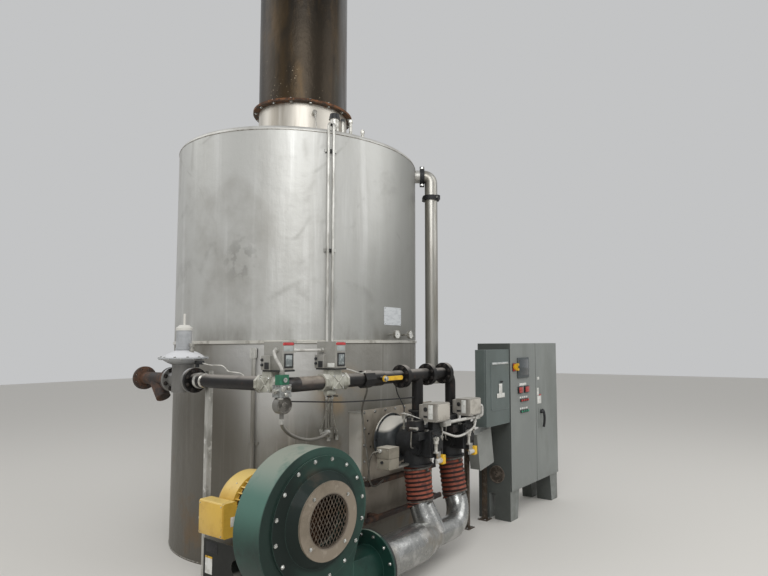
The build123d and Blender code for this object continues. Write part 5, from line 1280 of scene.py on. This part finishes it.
# Pilot valve: caps, a lever, a nut on the coil; the round switch gets its rim and face
trimSet = {
    "x": -1.7,
    "y": -1.75,
    "switch": [(0.057, 0), (0.058, 0.002), (0.058, 0.007), (0.05, 0.009), (0.047, 0.003), (0.018, 0.003),
               (0.016, 0.006), (0, 0.006)],
    "caps": ((-0.024, 1.585, 0.019), (0.022, 1.588, 0.015), (-0.002, 1.548, 0.013)),
}
x, y = trimSet["x"], trimSet["y"]
shapes = [(lathe, (x, -1.776, 1.478), frontways, trimSet["switch"])]
makePiece("switchRim", shapes, "switchMetal", steps=32)
shapes = []
for dx, z, r in trimSet["caps"]:
    shapes.append(turned((x + dx, y - 0.041, z), frontways, (r, 0, 0.009), (r * 0.7, 0.013)))
shapes.append(turned((x - 0.047, y, 1.57), leftways, (0.018, 0, 0.012), (0.011, 0.014, 0.026)))
shapes.append(box((x - 0.038, y - 0.03, 1.522), (0.04, 0.014, 0.012), 0.003))
makePiece("pilotFittings", shapes, "brightFitting")
shapes = [turned((x, y, 1.672), upways, (0.012, 0, 0.01), (0.008, 0.012))]
shapes.append(turned((x, -1.779, 1.64), frontways, (0.016, 0, 0.006)))
makePiece("coilNuts", shapes, "boltZinc")

# Burner plate: bolts along its top and sides, dark discs of painted shade for the open holes beside the
# casing, casing rings, strip on the box
plateSet = {"left": -0.436, "right": 0.536, "low": 0.304, "high": 1.276, "face": -1.312, "count": 8}
s = plateSet
corners = (s["left"], s["face"], s["high"]), (s["right"], s["face"], s["high"])
spots = rowSpots(*corners, s["count"], frontways)
for x in (s["left"], s["right"]):
    spots += rowSpots((x, s["face"], s["low"]), (x, s["face"], s["high"]), s["count"], frontways)[1:-1]
boltSet("plateBolts", spots, "m12")
burnersX = (-0.19, 0.315)
spots = []
for x in burnersX:
    spots += ringSpots((x, -1.414, 1.035), frontways, 0.211, 14, 10, 0.8)
boltSet("casingBolts", spots, "m10", "boltBlack")
# painted shade: thin dark discs stand for the shaded insides of the open holes
holes = ((-0.393, 1.204), (-0.377, 1.09), (-0.356, 0.976))
shapes = [(disc, (x, -1.3118, z), frontways, 0.009, 0.0008, 0.0002) for x, z in holes]
makePiece("plateHoleShade", shapes, "darkRubber")
strip = box((-0.447, -1.205, 1.276), (0.014, 0.18, 0.011), 0.002)
makePiece("boxTopStrip", [strip], "zincPlate")

# Burner noses, each part from the burner's axis: covers, control blocks, cocks, plugs over the scanners
noseSet = {
    "blocks": [
        ((0, -1.908, 1.047), (0.15, 0.01, 0.176), 0.003),
        ((0.01, -1.917, 1.085), (0.09, 0.014, 0.05), 0.003),
        ((-0.152, -1.8, 1.19), (0.124, 0.1, 0.086), 0.006),
        ((-0.148, -1.752, 1.24), (0.07, 0.05, 0.03), 0.004),
        ((-0.142, -1.824, 1.108), (0.1, 0.086, 0.066), 0.006),
    ],
    "caps": [
        ((-0.095, -1.77, 0.985), leftways, (0.046, 0, 0.02), (0.032, 0.024, 0.04)),
        ((0, -1.905, 0.905), frontways, (0.03, 0, 0.006)),
    ],
    "bars": [
        ((-0.118, -1.705, 1.232), (0.012, 0.012, 0.05), 0.003),
        ((0.072, -1.911, 1.105), (0.016, 0.014, 0.11), 0.003),
    ],
    "nipples": [
        ((-0.047, -1.705, 1.262), leftways, (0.011, 0, 0.045), (0.02, 0.046, 0.082), (0.011, 0.083, 0.125),
         (0.017, 0.126, 0.148)),
        ((-0.185, -1.705, 1.3), downways, (0.012, 0, 0.03), (0.018, 0.031, 0.056), (0.01, 0.057, 0.115),
         (0.015, 0.116, 0.14)),
        ((0.03, -1.925, 1.085), frontways, (0.013, 0, 0.014), (0.008, 0.016, 0.026)),
        ((-0.08, -1.85, 1.14), frontways, (0.014, 0, 0.03), (0.009, 0.032, 0.052)),
        ((-0.214, -1.79, 1.176), frontways, (0.01, 0, 0.06), (0.014, 0.062, 0.078)),
        ((-0.11, -1.866, 1.2), upways, (0.008, 0, 0.03)),
        ((-0.196, -1.8, 1.228), upways, (0.012, 0, 0.012), (0.007, 0.014, 0.03)),
    ],
    "sleeves": [
        ((-0.045, -1.905, 1.075), frontways, (0.015, 0, 0.02), (0.021, 0.021, 0.045)),
        ((-0.045, -1.932, 1.082), downways, (0.021, 0, 0.045), (0.014, 0.05, 0.108)),
    ],
    "sleeveNuts": [((-0.045, -1.932, 0.966), (0.036, 0.036, 0.016), 0.004)],
    "screws": [(side, -1.913, z) for side in (-0.062, 0.062) for z in (0.973, 1.121)],
    "tube": [(-0.205, -1.8, 1.15), (-0.212, -1.8, 1.1), (-0.206, -1.79, 1.04), (-0.165, -1.765, 1.0),
             (-0.12, -1.765, 0.998)],
}
s = noseSet


def onBurners(make, part):
    # the same shapes on both burners
    return [make((x + spot[0], *spot[1:]), *rest) for x in burnersX for spot, *rest in s[part]]


shapes = onBurners(box, "blocks") + onBurners(turned, "caps")
makePiece("noseBlocks", shapes, "blackCasting")
shapes = onBurners(turned, "nipples") + onBurners(box, "bars")
makePiece("noseFittings", shapes, "brightFitting")
shapes = onBurners(turned, "sleeves") + onBurners(box, "sleeveNuts")
makePiece("scannerSleeves", shapes, "paleTube")
spots = [((x + dx, y, z), frontways, 0.9) for x in burnersX for dx, y, z in s["screws"]]
boltSet("noseBolts", spots, "m10", "boltBlack")
runs = [[(x + dx, y, z) for dx, y, z in s["tube"]] for x in burnersX]
tubePiece("noseTubes", runs, 0.0055, "brightFitting", steps=4)

# Control motors: darker end with a dial, bare label place, pressed cover with screws
motorSet = {
    "ends": [((-0.012, -1.815, 1.3), (0.168, 0.046, 0.124), 0.006)],
    "labels": [((-0.1006, -1.918, 1.302), (0.0014, 0.046, 0.118), 0.0004)],
    "dials": [((-0.1, -1.866, 1.322), leftways, (0.019, 0, 0.004), (0.012, 0.007))],
    "slots": [((-0.101, -1.866, 1.262), (0.003, 0.04, 0.016), 0.0008)],
    "lids": [((0.006, -1.978, 1.299), (0.178, 0.006, 0.134), 0.0025)],
    "screws": [(side, -1.981, z) for side in (-0.074, 0.086) for z in (1.242, 1.356)],
}
s = motorSet
makePiece("motorEnds", onBurners(box, "ends"), "motorCoverGrey")
makePiece("motorLabels", onBurners(box, "labels"), "bareVinyl")
shapes = onBurners(turned, "dials") + onBurners(box, "slots")
makePiece("motorDials", shapes, "darkRubber")
makePiece("motorLids", onBurners(box, "lids"), "motorLidGrey")
spots = [((x + dx, y, z), frontways, 0.6) for x in burnersX for dx, y, z in s["screws"]]
boltSet("motorLidScrews", spots, "m6")

# Hose clamps: a steel band with its screw at each end of both hoses
clampSet = {"radius": 0.1182, "wide": 0.014, "legs": (0.28, 0.245), "lean": 24.0, "insets": (0.022, 0.036)}
s = clampSet
lean = math.radians(s["lean"])
r, w = s["radius"], s["wide"]
band = [(r - 0.003, 0), (r, 0.001), (r, w - 0.001), (r - 0.003, w), (r - 0.003, 0)]
clamps = []
for x, leg in zip(burnersX, s["legs"]):
    foot = Vector((x, -1.85 + math.sin(lean) * leg, 0.261 + math.cos(lean) * leg))
    run = Vector((x, -1.695, 0.835)) - foot
    for along in (s["insets"][0], run.length - s["insets"][1]):
        middle = foot + run.normalized() * along
        clamps.append((lathe, middle, run, band))
        clamps.append(box(middle + Vector((-0.02, -r - 0.004, 0.007)), (0.034, 0.014, 0.013), 0.002))
makePiece("hoseClamps", clamps, "switchMetal", steps=40)
print("burners done")

# Igniter box in two halves on its rail, with its screws and knob
igniterSet = {
    "left": -0.6345,
    "middleY": -1.695,
    "boxes": [
        ((-0.572, -1.695, 0.9095), (0.125, 0.13, 0.083), 0.004),
        ((-0.572, -1.695, 0.9975), (0.128, 0.133, 0.087), 0.004),
        ((-0.572, -1.695, 0.953), (0.119, 0.124, 0.012), 0.001),
        ((-0.418, -1.7, 0.862), (0.188, 0.04, 0.02), 0.003),
        ((-0.542, -1.7, 0.862), (0.1, 0.06, 0.014), 0.003),
    ],
}
s = igniterSet
left, middleY = s["left"], s["middleY"]
shapes = [box(*values) for values in s["boxes"]]
igniter = makePiece("igniterHousing", shapes, "puttyPaint")
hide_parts("igniter_box")
spots = [((left - 0.001, middleY + dy, z), leftways, 0.6) for dy in (-0.05, 0.05) for z in (0.885, 1.025)]
boltSet("igniterScrews", spots, "m6")
shapes = [turned((left, middleY + 0.006, 0.925), leftways, (0.012, 0, 0.01))]
makePiece("igniterKnob", shapes, "darkRubber")

# Flexible conduits, held at both ends, sag or bend along smooth lines: radius, finish, then the runs
conduitSet = {
    "igniterTube": (
        0.007, "greyHose",
        [(-0.628, -1.672, 1.014), (-0.66, -1.655, 1.014), (-0.665, -1.6, 0.99), (-0.618, -1.53, 0.88),
         (-0.56, -1.48, 0.765), (-0.49, -1.45, 0.672), (-0.385, -1.43, 0.665), (-0.29, -1.4, 0.69)],
    ),
    "sagConduit": (
        0.0125, "greyConduit",
        [(-1.7, -1.75, 1.4), (-1.7, -1.75, 1.372), (-1.655, -1.705, 1.325), (-1.46, -1.56, 1.235),
         (-1.18, -1.4, 1.15), (-0.92, -1.24, 1.112), (-0.76, -1.16, 1.108), (-0.672, -1.115, 1.12)],
    ),
    "flexConduits": (
        0.0105, "paleConduit",
        [(0.372, -1.935, 1.18), (0.366, -1.95, 1.13), (0.3, -1.955, 1.095), (0.16, -1.96, 1.066),
         (0.04, -1.955, 1.06), (-0.05, -1.94, 1.09), (-0.115, -1.905, 1.12)],
        [(-1.65, -1.64, 1.835), (-1.676, -1.642, 1.836), (-1.694, -1.655, 1.815), (-1.7, -1.7, 1.76),
         (-1.7, -1.748, 1.72), (-1.7, -1.75, 1.672)],
        [(-1.55, -1.66, 1.83), (-1.2535, -1.66, 1.83)],
    ),
    "motorConduit": (
        0.0145, "paleConduit",
        [(-0.06, -1.94, 1.196), (0.1, -1.94, 1.196), (0.455, -1.94, 1.196), (0.496, -1.94, 1.202),
         (0.497, -1.94, 1.245), (0.494, -1.94, 1.292), (0.452, -1.94, 1.295), (0.405, -1.94, 1.295)],
    ),
}
for name, (radius, finish, *runs) in conduitSet.items():
    tubePiece(name, runs, radius, finish, sides=12, steps=8)
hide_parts("flex_conduits")

# Fittings at the conduits' ends: alike hubs, other ends, boxes
fittingSet = {
    "hub": ((0.017, 0, 0.014), (0.0145, 0.016, 0.034)),
    "hubs": [
        ((-1.548, -1.66, 1.83), rightways),
        ((-1.2545, -1.66, 1.83), leftways),
        ((-1.7, -1.75, 1.674), upways),
        ((-1.7, -1.75, 1.388), downways),
        ((0.415, -1.94, 1.295), rightways),
    ],
    "ends": [
        ((-1.652, -1.64, 1.835), leftways, (0.017, 0, 0.014), (0.013, 0.016, 0.022)),
        ((-0.683, -1.118, 1.12), rightways, (0.016, 0, 0.02)),
        ((0.374, -1.938, 1.18), downways, (0.016, 0, 0.03)),
        ((-0.631, -1.672, 1.014), leftways, (0.017, 0, 0.014), (0.013, 0.018)),
        ((-0.738, -1.098, 1.156), downways, (0.014, 0, 0.024)),
        ((-0.56, -1.104, 1.086), downways, (0.014, 0, 0.04)),
        ((-0.655, -1.105, 1.1), downways, (0.012, 0, 0.03), (0.018, 0.032, 0.05)),
    ],
    "boxes": [
        ((-0.105, -1.94, 1.196), (0.094, 0.05, 0.054), 0.005),
        ((-0.105, -1.967, 1.196), (0.082, 0.006, 0.044), 0.002),
        ((0.4, -1.94, 1.196), (0.07, 0.042, 0.04), 0.005),
        ((-0.655, -1.106, 1.122), (0.18, 0.03, 0.022), 0.004),
        ((-0.668, -1.104, 1.122), (0.056, 0.05, 0.046), 0.01),
    ],
}
s = fittingSet
shapes = [turned(*place, *s["hub"]) for place in s["hubs"]]
shapes += [turned(*values) for values in s["ends"]] + [box(*values) for values in s["boxes"]]
makePiece("conduitFittings", shapes, "zincPlate")
print("conduits done")


def outwards(bearing):
    # level unit vector at this bearing round the vessel; a quarter turn more runs along its shell
    a = math.radians(bearing)
    return Vector((math.cos(a), math.sin(a), 0))


# Weld beads: head to shell, stub to head, shell to floor, and one upright seam a course at the back
weldSet = {
    "bead": {"Bead radius": 0.0042, "Ripple": 0.25, "Step": 0.016},
    "rings": ((3.765, 1.2185, 240), (3.812, 0.466, 120), (0.012, 1.2195, 240)),
    "seams": ((62, 0.03, 1.872), (78, 1.914, 3.765)),
    "shell": 1.2195,
}
s = weldSet
paths = [(circlePath((0, 0, z), upways, radius, steps), True) for z, radius, steps in s["rings"]]
for bearing, *heights in s["seams"]:
    paths.append(([outwards(bearing) * s["shell"] + Vector((0, 0, z)) for z in heights], False))
beadSet("shellWelds", paths, s["bead"])

# Gauge dials: bezel, pale dial, ticks, plain numbers, needle
gaugeSet = {
    "bearings": (-89.5, -79.3),
    "reach": 1.3155,
    "height": 1.96,
    "bezel": [(0.0375, -0.012), (0.0405, -0.01), (0.0405, 0.003), (0.0365, 0.0055), (0.0345, 0.0012),
              (0.0345, -0.002)],
    "needles": (38, -20),
    "start": 225,
    "sweep": 270,
    "ticks": 25,
    "marks": ("0", "2", "4", "6", "8", "10"),
    "letter": 0.0085,
    "tickRing": 0.0315,
    "markRing": 0.0215,
    "dial": (0.035, 0.0012, 0.0003),
    "needle": ((0.034, 0.0018, 0.0006), 0.0002),
    "needleHub": (0.0035, 0.0018, 0.0003),
}


def markMesh(mark, size):
    data = bpy.data.curves.new("mark", "FONT")
    data.body = mark
    data.size = size
    data.align_x, data.align_y = "CENTER", "CENTER"
    data.extrude = 0.0002
    mesh = plainMesh(bpy.data.objects.new("mark", data), "mark")
    bpy.data.curves.remove(data)
    return mesh


def gaugeFaces(s):
    bezels, dials, black = bmesh.new(), bmesh.new(), bmesh.new()
    upward = Vector(upways)
    for bearing, needle in zip(s["bearings"], s["needles"]):
        out = outwards(bearing)
        middle = out * s["reach"] + upward * s["height"]
        lathe(bezels, middle, out, s["bezel"], 40)
        disc(dials, middle, out, *s["dial"], 40)
        facing = Matrix((outwards(bearing + 90), upward, out)).transposed()
        for i in range(s["ticks"] + 1):
            turn = s["start"] - i * s["sweep"] / s["ticks"]
            long = 0.005 if i % 5 == 0 else 0.003
            tilt = facing @ Matrix.Rotation(math.radians(turn), 3, "Z")
            spot = middle + facing @ outwards(turn) * (s["tickRing"] - long / 2) + out * 0.0013
            roundBox(black, spot, (long, 0.0008, 0.0004), 0.0001, tilt, 1)
        tilt = facing @ Matrix.Rotation(math.radians(90 + needle), 3, "Z")
        spot = middle + tilt @ Vector((0.007, 0, 0)) + out * 0.0022
        roundBox(black, spot, *s["needle"], tilt, 1)
        disc(black, middle + out * 0.0012, out, *s["needleHub"], 16)
        for i, mark in enumerate(s["marks"]):
            turn = s["start"] - i * s["sweep"] / (len(s["marks"]) - 1)
            mesh = markMesh(mark, s["letter"])
            spot = middle + facing @ outwards(turn) * s["markRing"] + out * 0.0014
            mesh.transform(Matrix.Translation(spot) @ facing.to_4x4())
            black.from_mesh(mesh)
            bpy.data.meshes.remove(mesh)
    placePiece("gaugeBezels", closedMesh("gaugeBezels", bezels), "brightFitting")
    placePiece("gaugeDials", closedMesh("gaugeDials", dials), "bareVinyl")
    placePiece("gaugeMarks", closedMesh("gaugeMarks", black), "darkRubber")


gaugeFaces(gaugeSet)
dataPlateSet = {"bearings": (-92.5, -81.3), "reach": 1.2222, "heights": (2.06, 2.21)}
s = dataPlateSet
spots = []
for bearing in s["bearings"]:
    out = outwards(bearing)
    spots += [(out * s["reach"] + Vector((0, 0, z)), out, 0.7) for z in s["heights"]]
boltSet("plateScrews", spots, "m6")

# Coupling bolts through the lugs of the water inlet's two grooved couplings
inletSet = {
    "bearing": -50.0,
    "distance": 1.295,
    "height": 3.715,
    "riser": (0.8967, -1.0686, 3.474),
    "lug": 0.092,
}
s = inletSet
side = outwards(s["bearing"] + 90)
spots = []
for rise in (-s["lug"], s["lug"]):
    inlet = outwards(s["bearing"]) * s["distance"] + Vector((0, 0, s["height"] + rise))
    riser = Vector(s["riser"]) + Vector((0, rise, 0))
    for middle, way in ((inlet, side), (riser, Vector(rightways))):
        spots += [(middle + way * 0.02, way, 1.1), (middle - way * 0.02, -way, 1.1)]
boltSet("couplingBolts", spots, "m12")

# Sensor on the stub with its thin tube over the head
sensorSet = {
    "place": (-0.222, -0.405, 4.226),
    "axis": (-0.48, -0.88, 0),
    "rings": ((0.016, 0, 0.024), (0.024, 0.026, 0.05), (0.016, 0.056)),
    "tube": [(-0.246, -0.449, 4.215), (-0.262, -0.478, 4.12), (-0.3, -0.55, 3.96), (-0.42, -0.72, 3.855),
             (-0.5, -0.86, 3.84), (-0.5, -0.96, 3.85)],
}
s = sensorSet
makePiece("stubSensor", [turned(s["place"], s["axis"], *s["rings"])], "brightFitting")
tubePiece("sensorTube", [s["tube"]], 0.0055, "paleTube")
print("vessel fittings done")

# Blower motor: terminal lid, bare label, conduit hub, lifting eye, foot bolts; pedestal: plate and tag
boxPieces([
    ("terminalLid", "motorYellow", "motor_yellow", ((-1.8865, -1.285, 0.725), (0.007, 0.258, 0.213), 0.0028)),
    ("terminalLabel", "bareVinyl", "plate_pale", ((-1.815, -1.4207, 0.712), (0.032, 0.0014, 0.062), 0.0004)),
    ("terminalStripe", "redStrip", "plate_pale", ((-1.797, -1.4207, 0.712), (0.006, 0.0016, 0.062), 0.0004)),
    ("pedestalPlate", "darkRubber", "controls_black",
     ((-1.7457, -1.098, 0.468), (0.0016, 0.13, 0.072), 0.0005)),
    ("pedestalTag", "bareVinyl", "plate_pale", ((-1.7457, -1.063, 0.338), (0.0016, 0.08, 0.106), 0.0005)),
    ("pedestalEdge", "yellowVinyl", "plate_pale", ((-1.7458, -1.063, 0.398), (0.0018, 0.08, 0.014), 0.0005)),
])
blowerMotorSet = {
    "x": -1.555,
    "lidFace": -1.89,
    "lidMiddle": (-1.285, 0.725),
    "hub": ((0.026, 0, 0.01), (0.019, 0.012, 0.034), (0.023, 0.036, 0.048)),
    "footZ": 0.544,
    "eye": ((0.018, 0, 0.01), (0.009, 0.014, 0.026)),
    "eyeRadius": 0.02,
    "cowl": ((-1.555, -1.31, 0.755), 0.2275),
}
s = blowerMotorSet
x = s["x"]
y, z = s["lidMiddle"]
spots = [((s["lidFace"], y + dy, z + dz), leftways, 0.75) for dy in (-0.116, 0.116) for dz in (-0.094, 0.094)]
boltSet("terminalScrews", spots, "m6")
makePiece("terminalHub", [turned((-1.834, -1.15, 0.7), rearways, *s["hub"])], "zincPlate")
spots = [((x + dx, y, s["footZ"]), upways, 1.0) for dx in (-0.152, 0.152) for y in (-1.45, -1.58)]
boltSet("footBolts", spots, "m12", "motorYellow")
makePiece("eyeFoot", [turned((x, -1.6, 0.962), upways, *s["eye"])], "motorYellow")
eye = []
for i in range(12):
    t = i * math.pi / 6
    eye.append((x + s["eyeRadius"] * math.cos(t), -1.6, 1.006 + s["eyeRadius"] * math.sin(t)))
tubePiece("eyeRing", [eye + eye[:1]], 0.0055, "motorYellow", steps=3)
spots = []
middle, radius = s["cowl"]
for t in (0.8, 2.3, 3.9, 5.4):
    out = Vector((math.cos(t), 0, math.sin(t)))
    spots.append((Vector(middle) + out * radius, out, 0.8))
boltSet("cowlScrews", spots, "m6")
print("blower motor done")

# Cabinet door controls: plate, bezel and glass, lamps, buttons, bare tags
controlSet = {
    "door": -1.817,
    "plate": ((1.376, -1.82, 1.612), (0.086, 0.008, 0.086), 0.002),
    "tag": ((1.574, -1.8176, 1.418), (0.16, 0.0014, 0.028), 0.0004),
    "lamps": (1.502, 1.65),
    "lampZ": 1.361,
    "lamp": ((0.106, 0.018, 0.074), 0.004),
    "lampLens": ((0.09, 0.006, 0.06), 0.0025),
    "buttons": (1.52, 1.568, 1.616, 1.664),
    "rows": (1.246, 1.126),
    "button": ((0.017, 0, 0.01), (0.014, 0.014)),
    "lens": ((0.0125, 0, 0.008), (0.009, 0.012)),
    "buttonTag": ((0.032, 0.0014, 0.019), 0.0004),
}
s = controlSet
dark, red, green, tags = [box(*s["plate"])], [], [], [box(*s["tag"])]
for x in s["lamps"]:
    dark.append(box((x, s["door"] - 0.008, s["lampZ"]), *s["lamp"]))
    red.append(box((x, s["door"] - 0.0175, s["lampZ"]), *s["lampLens"]))
for row, lenses in zip(s["rows"], (red, green)):
    for x in s["buttons"]:
        dark.append(turned((x, s["door"], row), frontways, *s["button"]))
        lenses.append(turned((x, s["door"] - 0.012, row), frontways, *s["lens"]))
        tags.append(box((x - 0.006, s["door"] - 0.0006, row + 0.031), *s["buttonTag"]))
boxPieces([
    ("screenBezel", "bezelGrey", "controls_black", ((1.574, -1.824, 1.6), (0.262, 0.014, 0.222), 0.004)),
    ("screenGlassPane", "screenGlass", "controls_black",
     ((1.574, -1.8312, 1.606), (0.224, 0.0016, 0.172), 0.0005)),
    ("rotaryPlate", "redGrip", "knob_red", ((1.376, -1.8255, 1.612), (0.082, 0.003, 0.082), 0.001)),
], "door_left")
blocks = makePiece("controlBlocks", dark, "blackNylon", "door_left")
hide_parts("door_controls")
makePiece("redLenses", red, "redLens", "door_left")
makePiece("greenLenses", green, "greenLens", "door_left")
makePiece("controlTags", tags, "bareVinyl", "door_left")
cap = turned((1.374, -1.875, 1.615), frontways, (0.014, 0, 0.003), (0.01, 0.005))
makePiece("rotaryCap", [cap], "blackNylon", "rotary_handle")

# Right door: bare tags, the pale escutcheon of its handle, a bowed grip from a round boss
handleSet = {
    "bow": [(2.015, -1.834, 1.098), (2.015, -1.85, 1.096), (2.02, -1.858, 1.06), (2.026, -1.86, 1.0),
            (2.022, -1.856, 0.94), (2.018, -1.85, 0.905)],
    "boss": ((0.022, 0, 0.012), (0.017, 0.03), (0.012, 0.038)),
}
boxPieces([
    ("doorTags", "bareVinyl", "plate_pale",
     ((1.958, -1.8177, 1.464), (0.05, 0.0014, 0.03), 0.0004),
     ((1.946, -1.8177, 1.312), (0.044, 0.0014, 0.086), 0.0004),
     ((1.98, -1.8177, 1.218), (0.1, 0.0014, 0.088), 0.0004)),
    ("doorTagStrip", "redStrip", "plate_pale", ((2.0, -1.8177, 1.272), (0.06, 0.0014, 0.012), 0.0004)),
    ("handleEscutcheon", "cabinetPowder", "cabinet_grey",
     ((1.968, -1.818, 1.01), (0.03, 0.003, 0.23), 0.0012)),
], "door_right")
s = handleSet
grip = tubePiece("handleGrip", [s["bow"]], 0.0145, "blackNylon", "pull_handle", 16, 8)
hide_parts("door_handle")
boss = turned((2.015, -1.8173, 1.08), frontways, *s["boss"])
makePiece("handleBoss", [boss], "blackNylon", "pull_handle")

# Side box: painted highlight on the bevel over its raised panel, latch, bare plates; round vent low on the
# cabinet's side
boxPieces([
    # painted highlight: a pale bar where the raised panel's top bevel catches the light
    ("panelTopHighlight", "panelEdgeHighlight", "cabinet_grey", ((1.078, -1.8145, 1.664), (0.33, 0.01, 0.022), 0.004)),
    ("panelLatch", "darkRubber", "controls_black", ((1.092, -1.822, 1.474), (0.044, 0.01, 0.016), 0.003)),
    ("panelPlates", "bareVinyl", "plate_pale",
     ((1.073, -1.8185, 1.405), (0.068, 0.0014, 0.1), 0.0004),
     ((1.078, -1.8185, 1.334), (0.16, 0.0014, 0.046), 0.0004)),
])
vent = [(0, 0.001)]
for radius in (0.026, 0.04, 0.054, 0.068):
    vent += [(radius, 0.001), (radius, 0.006), (radius + 0.005, 0.006), (radius + 0.005, 0.001)]
vent += [(0.08, 0.001), (0.081, 0.01), (0.088, 0.012), (0.092, 0.008), (0.092, 0)]
shapes = [(lathe, (1.291, -1.638, 0.475), leftways, vent)]
makePiece("sideVent", shapes, "ventBrown", steps=48)

# Screws of the junction box's lid, floor anchors of its stand and of the pipe post, nut of the gas lever
floorSet = {
    "lid": (0.955, -1.7, 0.8),
    "lidTilt": 9,
    "lidCorners": ((-0.122, -0.17), (0.122, -0.17), (0.122, 0.17), (-0.122, 0.17)),
    "feet": [(0.88, -1.5028, 0.008, 0.04), (1.228, -1.5028, 0.008, 0.04), (-1.522, -0.684, 0.01, 0.052)],
}
s = floorSet
tilt = Matrix.Rotation(math.radians(-s["lidTilt"]), 3, "Y")
spots = [(Vector(s["lid"]) + tilt @ Vector((dx, 0, dz)), frontways, 0.8) for dx, dz in s["lidCorners"]]
boltSet("junctionScrews", spots, "m6")
spots = []
for x, y, z, half in s["feet"]:
    spots += [((x + dx, y + dy, z), upways, 0.9) for dx in (-half, half) for dy in (-half, half)]
boltSet("anchorBolts", spots, "m12")
boltSet("leverNut", [((-0.735, -1.814, 1.6), frontways, 1.3)], "m16", body="gas_lever")
print("cabinet done")
